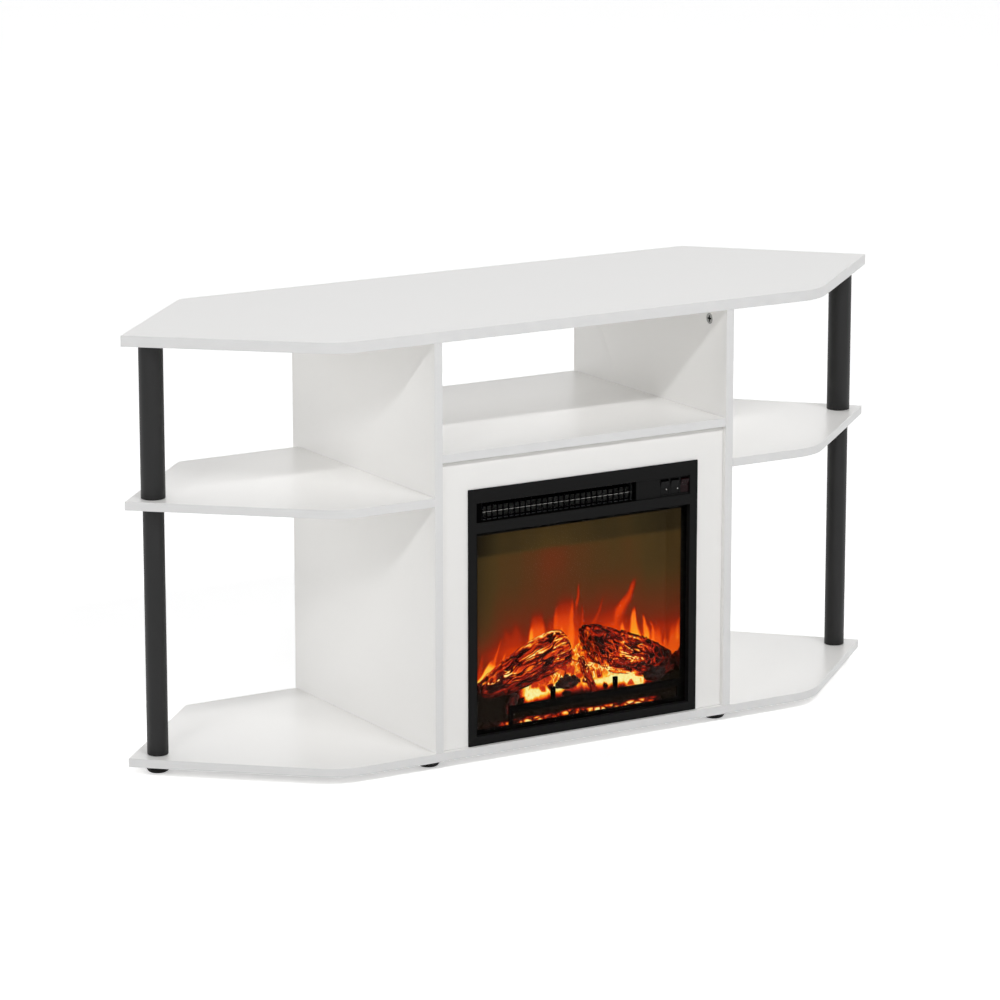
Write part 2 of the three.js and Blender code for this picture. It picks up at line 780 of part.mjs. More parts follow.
// The gland is a grommet whose groove holds the edge of the cover.
function makeCordGland() {
  const grip = sheetThickness / 2 + slideGap;
  return turned([
    [glandBoreRadius, -grip - glandFlange],
    [glandRadius, -grip - glandFlange],
    [glandRadius, -grip],
    [glandNeckRadius, -grip],
    [glandNeckRadius, grip],
    [glandRadius, grip],
    [glandRadius, grip + glandFlange],
    [glandNeckRadius, grip + glandTail],
    [glandBoreRadius, grip + glandTail],
    [glandBoreRadius, -grip - glandFlange],
  ], glandSides).rotateX(-Math.PI / 2);
}

// The angle bracket joins the side of the housing to the back of the front panel.
function makeBracket(side) {
  const legs = [
    [0, 0], [bracketLeg, 0], [bracketLeg, bracketThickness],
    [bracketThickness, bracketThickness], [bracketThickness, bracketLeg], [0, bracketLeg],
  ].map(([x, y]) => new THREE.Vector2(side * x, y));
  const angle = plate(side > 0 ? legs : legs.reverse(), bracketLength);
  const holes = [-1, 1].flatMap((sign) => {
    const height = (bracketLength + sign * bracketHolePitch) / 2;
    const middle = (bracketLeg + bracketThickness) / 2;
    const through = bracketThickness + 2 * overrun;
    const wallStart = side > 0 ? -overrun : -bracketThickness - overrun;
    return [
      rod('y', bracketHoleRadius, [side * middle, -overrun, height], through),
      rod('x', bracketHoleRadius, [wallStart, middle, height], through),
    ];
  });
  return cut(angle, ...holes);
}

addPiece(insert, 'trim_frame', makeTrimFrame(), blackSteel);
addPiece(insert, 'glass_panel', makeGlass(), darkGlass, [0, trimThickness + trimLipDepth + jointGap, 0]);
addPiece(insert, 'insert_housing', makeHousing(), blackSteel, [0, housingFront, 0]);
addPiece(insert, 'back_cover', makeBackCover(), blackSteel, [0, housingBack + jointGap, 0]);
addPiece(insert, 'cord_gland', makeCordGland(), blackPlastic,
  [glandX, housingBack + jointGap + sheetThickness / 2, glandHeight]);
bothSides.forEach(([name, side]) => {
  addPiece(insert, `${name}_bracket`, makeBracket(side), zincSteel,
    [side * (housingHalf + jointGap), trimThickness + panelThickness + jointGap, bracketHeight]);
});

// Outlet grille, heater and blower

const outletLeft = outletMargin - openingHalf;
const outletRight = openingHalf - controlRoom;
const bandPlateLow = bandLow - grilleMargin;
const bandPlateHigh = bandHigh + grilleMargin;
const wheelAxisRise = wheelRadius + scrollGap + scrollWall + scrollRise;
const wheelAxisHeight = deckTop + wheelAxisRise;

// The openings of a ladder: columns between upright bars, in two rows parted by a level bar.
function ladderHoles(left, right, low, high, bars, barWidth, coreHeight) {
  const pitch = (right - left + barWidth) / (bars + 1);
  const middle = (low + high) / 2;
  const rows = [[low, middle - coreHeight / 2], [middle + coreHeight / 2, high]];
  return Array.from({ length: bars + 1 }, (_, column) => {
    const start = left + column * pitch;
    return rows.map(([bottom, top]) => rectangle(start, bottom, start + pitch - barWidth, top));
  }).flat();
}

function makeOutletGrille() {
  const outline = rectangle(slideGap - chamberHalf, bandPlateLow, outletRight + grilleMargin, bandPlateHigh);
  const holes = ladderHoles(outletLeft, outletRight, bandLow + grilleMargin, bandHigh, grilleBarCount,
    grilleBarWidth, grilleWireHeight);
  return upright(outline, grilleThickness, holes);
}

const cheekLeft = outletLeft + grilleMargin;
const cheekRight = outletRight - grilleMargin;
const ductLow = bandLow + grilleMargin;
const ductHigh = bandHigh - grilleMargin;
const ductFront = trimThickness + grilleThickness + 2 * jointGap;

// The heater is a bank of fins between two rails, with the heating core along its middle.
function makeHeater() {
  const left = cheekLeft + cheekThickness + slideGap;
  const right = cheekRight - cheekThickness - slideGap;
  const low = ductLow + slideGap;
  const high = ductHigh - slideGap;
  const holes = ladderHoles(left + heaterFinWidth, right - heaterFinWidth, low + heaterRailHeight,
    high - heaterRailHeight, heaterFinCount, heaterFinWidth, heaterCoreHeight);
  return upright(rectangle(left, low, right, high), heaterDepth, holes);
}

// A point at an angle about the wheel's axis, as depth and height in the insert's frame.
function aboutWheel(radius, degrees) {
  const angle = THREE.MathUtils.degToRad(degrees);
  return new THREE.Vector2(
    wheelAxisDepth + radius * Math.cos(angle),
    wheelAxisHeight + radius * Math.sin(angle),
  );
}

// The scroll's floor runs in from the outlet, passes below the wheel and rises behind it.
function scrollFloor() {
  const [start, end] = scrollFloorSpan;
  const arc = (radius) => Array.from({ length: scrollFloorSteps + 1 }, (_, step) => (
    aboutWheel(radius, THREE.MathUtils.lerp(start, end, step / scrollFloorSteps))
  ));
  const inner = wheelRadius + scrollGap;
  const lip = [
    new THREE.Vector2(ductFront, ductLow),
    new THREE.Vector2(ductFront, ductLow - scrollWall),
  ];
  return [...lip, ...arc(inner + scrollWall), ...arc(inner).reverse()];
}

// The tongue is the outlet's roof, which ends close in front of the wheel.
function scrollTongue() {
  const [nose, crest] = scrollNoseSpan.map((degrees) => aboutWheel(wheelRadius + scrollGap / 2, degrees));
  return [
    new THREE.Vector2(ductFront, ductHigh),
    nose,
    crest,
    new THREE.Vector2(nose.x, ductHigh + scrollWall),
    new THREE.Vector2(ductFront, ductHigh + scrollWall),
  ];
}

function makeBlowerHousing() {
  const length = cheekRight - cheekLeft;
  const back = wheelAxisDepth + wheelRadius + scrollGap + scrollWall;
  const low = deckTop + jointGap;
  const high = ceiling - jointGap;
  const cheekOutline = roundedOutline([
    [ductFront, low, 0], [back, low, 0], [back, high, cheekCornerRadius], [ductFront, high, 0],
  ], smallCornerSteps);
  const bore = shaftRadius + slideGap;
  const shaftHole = roundedOutline([[-1, -1], [1, -1], [1, 1], [-1, 1]].map(([y, z]) => (
    [wheelAxisDepth + y * bore, wheelAxisHeight + z * bore, bore]
  )), smallCornerSteps);
  const cheeks = [cheekLeft, cheekRight - cheekThickness].map((start) => (
    sideways(cheekOutline, cheekThickness, [shaftHole]).translate(start, 0, 0)
  ));
  const inside = cheekThickness / 2;
  const walls = [scrollFloor(), scrollTongue()].map((outline) => (
    sideways(outline, length - 2 * inside).translate(cheekLeft + inside, 0, 0)
  ));
  return join(...cheeks, ...walls);
}

// One blade is a curved sheet between the drum's inner and outer radius.
function bladeOutline(turn) {
  const inner = wheelRadius - wheelBladeDepth;
  const half = wheelBladeThickness / 2;
  const edge = (offset) => Array.from({ length: wheelBladeSteps + 1 }, (_, step) => {
    const share = step / wheelBladeSteps;
    const angle = THREE.MathUtils.degToRad(turn + wheelBladeSweep * share * share);
    const radius = inner + (wheelBladeDepth - half) * share;
    const across = new THREE.Vector2(-Math.sin(angle), Math.cos(angle)).multiplyScalar(offset);
    return new THREE.Vector2(radius * Math.cos(angle), radius * Math.sin(angle)).add(across);
  });
  return [...edge(-half), ...edge(half).reverse()];
}

// The wheel lies along X about its own axis, from its left end disc at x = 0.
function makeBlowerWheel(length) {
  const blades = Array.from({ length: wheelBladeCount }, (_, place) => {
    const outline = bladeOutline(place * 360 / wheelBladeCount);
    return sideways(outline, length - wheelRingThickness).translate(wheelRingThickness / 2, 0, 0);
  });
  const discs = [0, length - wheelRingThickness].map((start) => (
    rod('x', wheelRadius, [start, 0, 0], wheelRingThickness, tubeSides)
  ));
  const ringStart = (length - wheelRingThickness) / 2;
  const ring = cut(
    rod('x', wheelRadius, [ringStart, 0, 0], wheelRingThickness, tubeSides),
    rod('x', wheelRadius - wheelBladeDepth, [ringStart - overrun, 0, 0],
      wheelRingThickness + 2 * overrun, tubeSides),
  );
  const hubLength = (wheelEndGap + wheelRingThickness) / 2;
  const hub = rod('x', wheelHubRadius, [length - wheelRingThickness / 2, 0, 0], hubLength);
  const leftShaft = wheelEndGap + cheekThickness + shaftRadius;
  const rightShaft = wheelEndGap + cheekThickness + motorShaftBore;
  const shafts = [
    rod('x', shaftRadius, [-leftShaft, 0, 0], leftShaft + wheelRingThickness / 2),
    rod('x', shaftRadius, [length - wheelRingThickness / 2, 0, 0], rightShaft + wheelRingThickness / 2),
  ];
  return join(...blades, ...discs, ring, hub, ...shafts);
}

// A motor lies along X with its shaft bore at x = 0, opening towards -x.
function makeBlowerMotor() {
  const depth = motorShaftBore + slideGap;
  const can = rod('x', motorRadius, [motorBearingLength, 0, 0], motorLength, tubeSides);
  const bearing = rod('x', motorBearingRadius, [0, 0, 0], motorBearingLength + overrun, footSides);
  const cap = rod('x', motorBearingRadius, [motorLength + motorBearingLength - overrun, 0, 0],
    motorBearingLength + overrun, footSides);
  const footDrop = wheelAxisRise - jointGap;
  const foot = block([motorBearingLength, -motorFootWidth / 2, -footDrop],
    [motorBearingLength + motorLength, motorFootWidth / 2, -motorRadius / 2]);
  const bore = rod('x', shaftRadius + slideGap, [-overrun, 0, 0], depth + overrun);
  return cut(join(can, bearing, cap, foot), bore);
}

addPiece(insert, 'outlet_grille', makeOutletGrille(), blackSteel, [0, trimThickness + jointGap, 0]);
addPiece(insert, 'heater_element', makeHeater(), zincSteel,
  [0, trimThickness + grilleThickness + heaterSetback, 0]);
addPiece(insert, 'blower_housing', makeBlowerHousing(), zincSteel);
const wheelLength = cheekRight - cheekLeft - 2 * (cheekThickness + wheelEndGap);
addPiece(insert, 'blower_wheel', makeBlowerWheel(wheelLength), zincSteel,
  [cheekLeft + cheekThickness + wheelEndGap, wheelAxisDepth, wheelAxisHeight]);
addPiece(insert, 'blower_motor', makeBlowerMotor(), blackSteel,
  [cheekRight + jointGap, wheelAxisDepth, wheelAxisHeight]);

// Controls

const rockerPitch = rockerWidth + rockerSpacing;
const controlLeft = outletRight + grilleMargin + slideGap;
const controlRight = chamberHalf - slideGap;
const rockerWindowHalf = rockerWidth / 2 + rockerWindowGap;
const lastRockerX = openingHalf - rockerWindowHalf - rockerWindowGap;
const rockerZ = (bandLow + bandHigh) / 2;
const rockerPlaces = Array.from({ length: rockerCount }, (_, place) => (
  lastRockerX - (rockerCount - 1 - place) * rockerPitch
));

// The plate has a window for each rocker, and ribs behind it that carry the rockers' pins.
function makeControlPlate() {
  const windowHalfHeight = rockerHeight / 2 + rockerWindowRise;
  const windows = rockerPlaces.map((x) => rectangle(
    x - rockerWindowHalf, rockerZ - windowHalfHeight, x + rockerWindowHalf, rockerZ + windowHalfHeight,
  ));
  const outline = rectangle(controlLeft, bandPlateLow, controlRight, bandPlateHigh);
  const face = upright(outline, grilleThickness, windows);
  const ribWidth = rockerPitch - 2 * rockerWindowHalf;
  const ribs = [rockerPlaces[0] - rockerPitch, ...rockerPlaces].map((x) => {
    const left = x + rockerWindowHalf;
    const right = Math.min(left + ribWidth, controlRight);
    return block(
      [left, grilleThickness / 2, rockerZ - controlRibHeight / 2],
      [right, controlRibDepth, rockerZ + controlRibHeight / 2],
    );
  });
  const bore = rod('x', rockerPinRadius + slideGap,
    [rockerPlaces[0] - rockerPitch, rockerPivotDepth, rockerZ], (rockerCount + 1) * rockerPitch);
  return cut(join(face, ...ribs), bore);
}

// A rocker about its pivot on x = 0, with a dished face to the front and a pin at each side.
function makeRocker() {
  const half = rockerHeight / 2;
  const outline = [
    [-rockerFrontDepth, 0],
    [-rockerFrontDepth - rockerDish, -half],
    [-rockerFrontDepth - rockerDish + rockerBodyDepth, -half],
    [-rockerPinRadius, -rockerHubRadius],
    [rockerHubRadius, -rockerHubRadius],
    [rockerHubRadius, rockerHubRadius],
    [-rockerPinRadius, rockerHubRadius],
    [-rockerFrontDepth - rockerDish + rockerBodyDepth, half],
    [-rockerFrontDepth - rockerDish, half],
  ].map(([y, z]) => new THREE.Vector2(y, z));
  const body = sideways(outline, rockerWidth).translate(-rockerWidth / 2, 0, 0);
  const pinReach = rockerWidth / 2 + rockerWindowGap + rockerPinLength;
  const pin = rod('x', rockerPinRadius, [-pinReach, 0, 0], 2 * pinReach);
  return join(body, pin);
}

addPiece(insert, 'control_plate', makeControlPlate(), blackPlastic, [0, trimThickness + jointGap, 0]);
['heater_rocker', 'flame_rocker', 'power_rocker'].forEach((name, place) => {
  const rocker = addPiece(insert, name, makeRocker(), blackPlastic,
    [rockerPlaces[place], trimThickness + jointGap + rockerPivotDepth, rockerZ]);
  rocker.rotation.x = THREE.MathUtils.degToRad(rockerTilt);
});

// Flame screen, flicker rotor and light board

const lightHalf = chamberHalf - lightMargin;
const rotorLength = 2 * (chamberHalf - rotorEndRoom);
const rotorLeft = -rotorLength / 2;
const rotorMotorFront = rotorLength / 2 + slideGap;
const rotorAxisDepth = screenDepth + screenThickness + rotorScreenGap + rotorRadius;

// The screen fills the chamber from floor to deck, with a slot that lets light out to the embers.
function makeFlameScreen() {
  const half = chamberHalf - slideGap;
  const slotLow = floorTop + lightSlotHeight / 2;
  return upright(
    rectangle(-half, floorTop + slideGap, half, deckHeight - slideGap),
    screenThickness,
    [rectangle(-lightHalf, slotLow, lightHalf, slotLow + lightSlotHeight)],
  );
}

// The rotor is a shaft with fins that wind round it, lying along X about its own axis.
function makeFlameRotor() {
  const pointCount = 2 * rotorFinCount;
  const rings = Array.from({ length: rotorSteps + 1 }, (_, step) => {
    const share = step / rotorSteps;
    const turn = share * rotorTurns * 2 * Math.PI;
    return Array.from({ length: pointCount }, (__, point) => {
      const angle = turn + point * 2 * Math.PI / pointCount;
      const radius = point % 2 ? rotorCoreRadius : rotorRadius;
      return new THREE.Vector3(share * rotorLength, radius * Math.cos(angle), radius * Math.sin(angle));
    });
  });
  const reach = rotorShaftReach;
  const shafts = [
    rod('x', shaftRadius, [-reach, 0, 0], 2 * reach),
    rod('x', shaftRadius, [rotorLength - reach, 0, 0], reach + motorShaftBore),
  ];
  return join(loft(rings), ...shafts);
}

// The gear motor's back plate lies on the housing's right wall, its bore opens towards -x.
function makeRotorMotor() {
  const can = rod('x', rotorMotorRadius, [0, 0, 0], rotorMotorLength, tubeSides);
  const backing = chamberHalf - jointGap - rotorMotorFront;
  const boss = rod('x', motorBearingRadius, [0, 0, 0], backing, footSides);
  const plateLow = [backing - sheetThickness, -rotorMotorRadius, -rotorMotorRadius];
  const backPlate = block(plateLow, [backing, rotorMotorRadius, rotorMotorRadius]);
  const bore = rod('x', shaftRadius + slideGap, [-overrun, 0, 0], motorShaftBore + slideGap + overrun);
  return cut(join(can, boss, backPlate), bore);
}

// The bearing post stands on the housing's floor, with the rotor's left shaft end in its bore.
function makeRotorBearing() {
  const height = rotorAxisHeight - floorTop - jointGap;
  const half = bearingPostWidth / 2;
  const outline = roundedOutline([
    [-half, -height, 0], [half, -height, 0], [half, half, half], [-half, half, half],
  ], smallCornerSteps);
  const post = sideways(outline, bearingPostThickness);
  const footTop = bearingPostThickness - height;
  const foot = block([-bearingFootLength, -half, -height], [bearingPostThickness, half, footTop]);
  const bore = rod('x', shaftRadius + slideGap, [-overrun, 0, 0], bearingPostThickness + 2 * overrun);
  return cut(join(post, foot), bore);
}

// The light board stands on two rows of standoffs and carries a row of lamps.
function makeLightBoard() {
  const boardTop = standoffHeight + lightBoardThickness;
  const board = block([-lightHalf, 0, standoffHeight], [lightHalf, lightBoardDepth, boardTop]);
  const middle = lightBoardDepth / 2;
  const pitch = 2 * lightHalf / lampCount;
  const inside = standoffHeight + lightBoardThickness / 2;
  const lamps = Array.from({ length: lampCount }, (_, place) => rod(
    'z', lampRadius, [(place + 1 / 2) * pitch - lightHalf, middle, inside],
    lampHeight + lightBoardThickness / 2, lampSides,
  ));
  const standoffs = [-1, 1].map((sign) => rod(
    'z', standoffRadius, [sign * (lightHalf - pitch / 2), middle, 0], inside, lampSides,
  ));
  return join(board, ...lamps, ...standoffs);
}

addPiece(insert, 'flame_screen', makeFlameScreen(), smokyScreen, [0, screenDepth, 0]);
addPiece(insert, 'flame_rotor', makeFlameRotor(), zincSteel, [rotorLeft, rotorAxisDepth, rotorAxisHeight]);
addPiece(insert, 'rotor_motor', makeRotorMotor(), blackPlastic,
  [rotorMotorFront, rotorAxisDepth, rotorAxisHeight]);
addPiece(insert, 'rotor_bearing', makeRotorBearing(), zincSteel,
  [rotorLeft - slideGap - bearingPostThickness, rotorAxisDepth, rotorAxisHeight]);
addPiece(insert, 'light_board', makeLightBoard(), greenBoard,
  [0, screenDepth + screenThickness + lightBoardSetback, floorTop + jointGap]);

// Logs, ember bed and grate

const bedBack = screenDepth - bedScreenGap;

// Rings round a log, square to its run, grown by a margin and moved by a drop.
// Its stations are shares of its run, rise, half height and half depth.
function logRings(log, margin = 0, drop = 0) {
  const stations = log.shares.map(([along, rise, tall, deep]) => ({
    middle: new THREE.Vector3(
      chamberHalf * THREE.MathUtils.lerp(...log.endShares, along),
      THREE.MathUtils.lerp(bedFront, bedBack, log.depthShare),
      THREE.MathUtils.lerp(...log.heights, rise) - drop,
    ),
    tall: log.tall * tall,
    deep: (bedBack - bedFront) * log.deepShare * deep,
  }));
  const run = new THREE.CatmullRomCurve3(stations.map(({ middle }) => middle));
  const count = (stations.length - 1) * logStepsPerStation;
  return Array.from({ length: count + 1 }, (_, step) => {
    const place = step / logStepsPerStation;
    const before = Math.min(Math.floor(place), stations.length - 2);
    const share = place - before;
    const tall = THREE.MathUtils.lerp(stations[before].tall, stations[before + 1].tall, share);
    const deep = THREE.MathUtils.lerp(stations[before].deep, stations[before + 1].deep, share);
    const middle = run.getPoint(step / count);
    const along = run.getTangent(step / count);
    const back = new THREE.Vector3(0, 1, 0);
    const up = along.clone().cross(back);
    const endShift = margin * ((step === count) - (step === 0));
    return Array.from({ length: logSides }, (__, side) => {
      const angle = side * 2 * Math.PI / logSides;
      const ridge = 1 - barkDepthShare * (1 + Math.sin(barkRidges * angle + step)) / 2;
      return middle.clone()
        .addScaledVector(back, (deep * ridge + margin) * Math.cos(angle))
        .addScaledVector(up, (tall * ridge + margin) * Math.sin(angle))
        .addScaledVector(along, endShift);
    });
  });
}

// The bed's surface rises from front to back in uneven lumps.
function bedHeight(x, share) {
  const rise = THREE.MathUtils.lerp(bedFrontHeight, bedBackHeight, Math.sqrt(share));
  const across = x / (bedBack - bedFront);
  const lumps = bedWaves.reduce((sum, [along, deep]) => sum + Math.sin(along * across + deep * share), 0);
  return rise + bedBumpHeight / 2 * lumps * (1 - share * share);
}

// The embers are one moulding, heaped below the logs and cut away round them, so that the logs rest on it.
function makeEmberBed() {
  const half = chamberHalf - slideGap;
  const low = floorTop + jointGap;
  const rings = Array.from({ length: bedColumns + 1 }, (_, column) => {
    const x = THREE.MathUtils.lerp(-half, half, column / bedColumns);
    const surface = Array.from({ length: bedRows + 1 }, (__, row) => {
      const share = row / bedRows;
      return new THREE.Vector3(x, THREE.MathUtils.lerp(bedFront, bedBack, share), bedHeight(x, share));
    });
    return [new THREE.Vector3(x, bedFront, low), new THREE.Vector3(x, bedBack, low), ...surface.reverse()];
  });
  const heaps = [leftLog, rightLog].map((log) => loft(logRings(log, 0, log.tall)));
  const moulding = join(loft(rings), ...heaps, loft(logRings(charredLump)), loft(logRings(twig)));
  return cut(moulding, ...[leftLog, rightLog].map((log) => loft(logRings(log, slideGap))));
}

// The grate is a bar across the front on two legs, with short posts on top.
function makeGrate() {
  const barTop = grateBarBase + grateBarHeight;
  const [grateLeft, grateRight] = grateEndShares.map((share) => share * chamberHalf);
  const bar = block([grateLeft, 0, grateBarBase], [grateRight, grateThickness, barTop]);
  const legs = [grateLeft, grateRight - grateLegWidth].map((left) => (
    block([left, 0, floorTop + jointGap], [left + grateLegWidth, grateThickness, barTop - grateBarHeight / 2])
  ));
  const posts = gratePostPlaceShares.map((share) => {
    const left = THREE.MathUtils.lerp(grateLeft, grateRight, share);
    return block([left, 0, grateBarBase + grateBarHeight / 2],
      [left + gratePostWidth, grateThickness, barTop + gratePostHeight]);
  });
  return join(bar, ...legs, ...posts);
}

addPiece(insert, 'left_log', loft(logRings(leftLog)), bark);
addPiece(insert, 'right_log', loft(logRings(rightLog)), bark);
addPiece(insert, 'ember_bed', makeEmberBed(), ember);
addPiece(insert, 'grate', makeGrate(), blackSteel, [0, grateFront, 0]);

export default stand;
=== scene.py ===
"""Corner television stand with an electric fireplace insert.

Metres, X to the right, Y to the back, Z up; the origin is on the floor below the middle.
Places inside the insert are in millimetres from the front of its trim and the top of the
base board, and in_insert() turns them to metres."""

import itertools
import math

import bmesh
import bpy
import numpy as np
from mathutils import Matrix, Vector
from mathutils.bvhtree import BVHTree


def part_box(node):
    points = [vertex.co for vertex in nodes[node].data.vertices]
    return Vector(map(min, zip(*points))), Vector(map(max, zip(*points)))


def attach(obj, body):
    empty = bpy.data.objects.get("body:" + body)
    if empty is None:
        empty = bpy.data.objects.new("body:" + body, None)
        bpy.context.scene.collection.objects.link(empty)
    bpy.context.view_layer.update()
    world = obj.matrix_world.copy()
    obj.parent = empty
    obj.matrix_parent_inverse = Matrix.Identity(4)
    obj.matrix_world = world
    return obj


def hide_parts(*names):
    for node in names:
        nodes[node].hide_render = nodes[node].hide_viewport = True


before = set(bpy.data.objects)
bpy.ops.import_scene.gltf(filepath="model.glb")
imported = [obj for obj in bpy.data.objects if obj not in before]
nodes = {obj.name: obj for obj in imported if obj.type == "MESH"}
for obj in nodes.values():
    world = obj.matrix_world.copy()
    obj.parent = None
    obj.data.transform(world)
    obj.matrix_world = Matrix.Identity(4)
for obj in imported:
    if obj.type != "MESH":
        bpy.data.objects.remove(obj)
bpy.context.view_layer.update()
into_scene = bpy.context.scene.collection.objects.link

MM = 0.001
INSERT_ORIGIN = (0.0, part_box("trim_frame")[0].y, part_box("base_board")[1].z)

# Inside of the insert, as in the solids: half width and floor of the flame chamber, front and
# back of the ember bed, and front of the screen that carries the flame film
CHAMBER_HALF = 174.0
CHAMBER_FLOOR = 1.2
BED_FRONT, BED_BACK = 18.0, 62.0
SCREEN_DEPTH = 64.0

# Edges that turn by more than this stay sharp, in degrees
SHARP = 35
# Points closer than this, in metres, are one point
SAME_POINT = 1e-7


# Steps and noises shared by the surfaces


def in_insert(x, depth, height):
    """Points of the insert's frame in millimetres, as rows of metres."""
    points = np.stack(np.broadcast_arrays(x, depth, height), axis=-1).reshape(-1, 3)
    return points * MM + np.array(INSERT_ORIGIN)


def ease(low, high, value):
    """A smooth step from 0 at low to 1 at high."""
    share = np.clip((value - low) / (high - low), 0, 1)
    return share * share * (3 - 2 * share)


def rows_of(table, cell):
    """The row of a table of random numbers that each cell of a lattice has."""
    x, y, z = cell.T
    return table[(x * 73856093 ^ y * 19349663 ^ z * 83492791) % len(table)]


def lattice_noise(points, seed):
    """Noise from 0 to 1: random numbers on a cubic lattice, eased between its corners."""
    table = np.random.default_rng(seed).random(4096)
    cell = np.floor(points).astype(np.int64)
    part = points - cell
    part = part * part * (3 - 2 * part)
    total = np.zeros(len(points))
    for corner in itertools.product((0, 1), repeat=3):
        weight = np.prod(np.where(corner, part, 1 - part), axis=1)
        total += rows_of(table, cell + corner) * weight
    return total


def rough_noise(points, seed, octaves=4):
    """Lattice noise at halving pitches, each half as strong as the one before."""
    total = np.zeros(len(points))
    for octave in range(octaves):
        total += lattice_noise(points * 2**octave, seed + octave) / 2 ** (octave + 1)
    return total / (1 - 0.5**octaves)


def cell_noise(points, seed):
    """Distances to the nearest and the next of points strewn one per cell, and the number from
    0 to 1 that the nearest of them has."""
    table = np.random.default_rng(seed).random((4096, 4))
    cell = np.floor(points).astype(np.int64)
    near = np.full(len(points), np.inf)
    after = near.copy()
    number = np.zeros(len(points))
    for step in itertools.product((-1, 0, 1), repeat=3):
        row = rows_of(table, cell + step)
        gap = np.linalg.norm(cell + step + row[:, :3] - points, axis=1)
        closer = gap < near
        after = np.where(closer, near, np.minimum(after, gap))
        number = np.where(closer, row[:, 3], number)
        near = np.where(closer, gap, near)
    return near, after, number


# Meshes


def grid_faces(rows, columns, wrap_rows=False, wrap_columns=False):
    """Quads between the points of a grid that are stored row by row."""
    row = np.arange(rows if wrap_rows else rows - 1)[:, None]
    column = np.arange(columns if wrap_columns else columns - 1)[None, :]
    next_row, next_column = (row + 1) % rows, (column + 1) % columns
    corners = (
        row * columns + column,
        row * columns + next_column,
        next_row * columns + next_column,
        next_row * columns + column,
    )
    return np.stack([corner.ravel() for corner in corners], axis=1)


def closed_mesh(name, points, faces, caps=(), merge=True, smooth=True, **attributes):
    """A mesh of points and quads with its faces turned outwards, where merge closes its poles.

    Caps are faces of any number of corners, and an attribute gives each point a value."""
    mesh = bpy.data.meshes.new(name)
    mesh.from_pydata(points.tolist(), [], faces.tolist() + list(caps))
    for attribute, values in attributes.items():
        layer = mesh.attributes.new(attribute, "FLOAT", "POINT")
        layer.data.foreach_set("value", values.astype(np.float32))
    shape = bmesh.new()
    shape.from_mesh(mesh)
    if merge:
        bmesh.ops.remove_doubles(shape, verts=shape.verts, dist=SAME_POINT)
        bmesh.ops.dissolve_degenerate(shape, edges=shape.edges, dist=SAME_POINT)
    bmesh.ops.recalc_face_normals(shape, faces=shape.faces)
    for face in shape.faces:
        face.smooth = smooth
    shape.to_mesh(mesh)
    shape.free()
    return mesh


def place(name, mesh, materials, body="stand", replaced=(), sharp_degrees=SHARP):
    """Puts a finished mesh in the scene as a piece that rides on a body."""
    mesh.name = name
    for material in materials:
        mesh.materials.append(material)
    mesh.set_sharp_from_angle(angle=math.radians(sharp_degrees))
    piece = bpy.data.objects.new(name, mesh)
    into_scene(piece)
    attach(piece, body)
    if replaced:
        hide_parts(*replaced)
    return piece


def softened(node, materials, round_mm, body="stand", pick=None):
    """A merged copy of a CAD node with its sharp edges rounded; pick gives a face's material.

    The solid's loose triangles are joined, and those that lie in one plane become one face."""
    same_corner, flat = 1e-6, math.radians(0.3)
    shape = bmesh.new()
    shape.from_mesh(nodes[node].data)
    bmesh.ops.remove_doubles(shape, verts=shape.verts, dist=same_corner)
    bmesh.ops.dissolve_limit(shape, angle_limit=flat, verts=shape.verts, edges=shape.edges)
    for face in shape.faces:
        face.smooth = True
        face.material_index = pick(face.normal, face.calc_center_median()) if pick else 0
    mesh = bpy.data.meshes.new(node)
    shape.to_mesh(mesh)
    shape.free()
    piece = place(f"{node}_soft", mesh, materials, body, [node])
    if round_mm:
        bevel = piece.modifiers.new("rounded_edges", "BEVEL")
        bevel.width = round_mm * MM
        bevel.segments = 2
        bevel.limit_method = "ANGLE"
        bevel.angle_limit = math.radians(SHARP)
        bevel.harden_normals = True


def turned(name, profile, centre, material, node, sides=96):
    """A turned piece about Z: a closed profile of (radius, height) carried round a circle."""
    radius, height = np.array(profile).T
    angle = np.linspace(0, 2 * np.pi, sides, endpoint=False)[:, None]
    points = np.stack(
        np.broadcast_arrays(radius * np.cos(angle), radius * np.sin(angle), height), axis=-1
    ).reshape(-1, 3)
    faces = grid_faces(sides, len(profile), wrap_rows=True, wrap_columns=True)
    mesh = closed_mesh(name, points + np.array(centre), faces)
    place(name, mesh, [material], "stand", [node])


def rounded(corners, radius, steps=4):
    """The points of a closed outline whose corners are rounded: at each corner the chord between
    the points one radius before and after it bows outwards as a parabola, as high as an arc."""
    corners = np.array(corners, float)
    before = np.roll(corners, 1, axis=0) - corners
    after = np.roll(corners, -1, axis=0) - corners
    before /= np.linalg.norm(before, axis=1)[:, None]
    after /= np.linalg.norm(after, axis=1)[:, None]
    share = np.linspace(0, 1, steps + 1)[None, :, None]
    first, last = corners + before * radius, corners + after * radius
    chord = (1 - share) * first[:, None] + share * last[:, None]
    arc_height = 0.29 * radius
    bow = 4 * share * (1 - share) * arc_height
    outwards = -(before + after)
    outwards /= np.linalg.norm(outwards, axis=1)[:, None]
    return (chord + bow * outwards[:, None]).reshape(-1, 2)


# Materials


def linear(text):
    """An sRGB hex colour as linear red, green, blue and alpha."""
    values = [int(text[start : start + 2], 16) / 255 for start in (1, 3, 5)]
    return [v / 12.92 if v <= 0.04045 else ((v + 0.055) / 1.055) ** 2.4 for v in values] + [1.0]


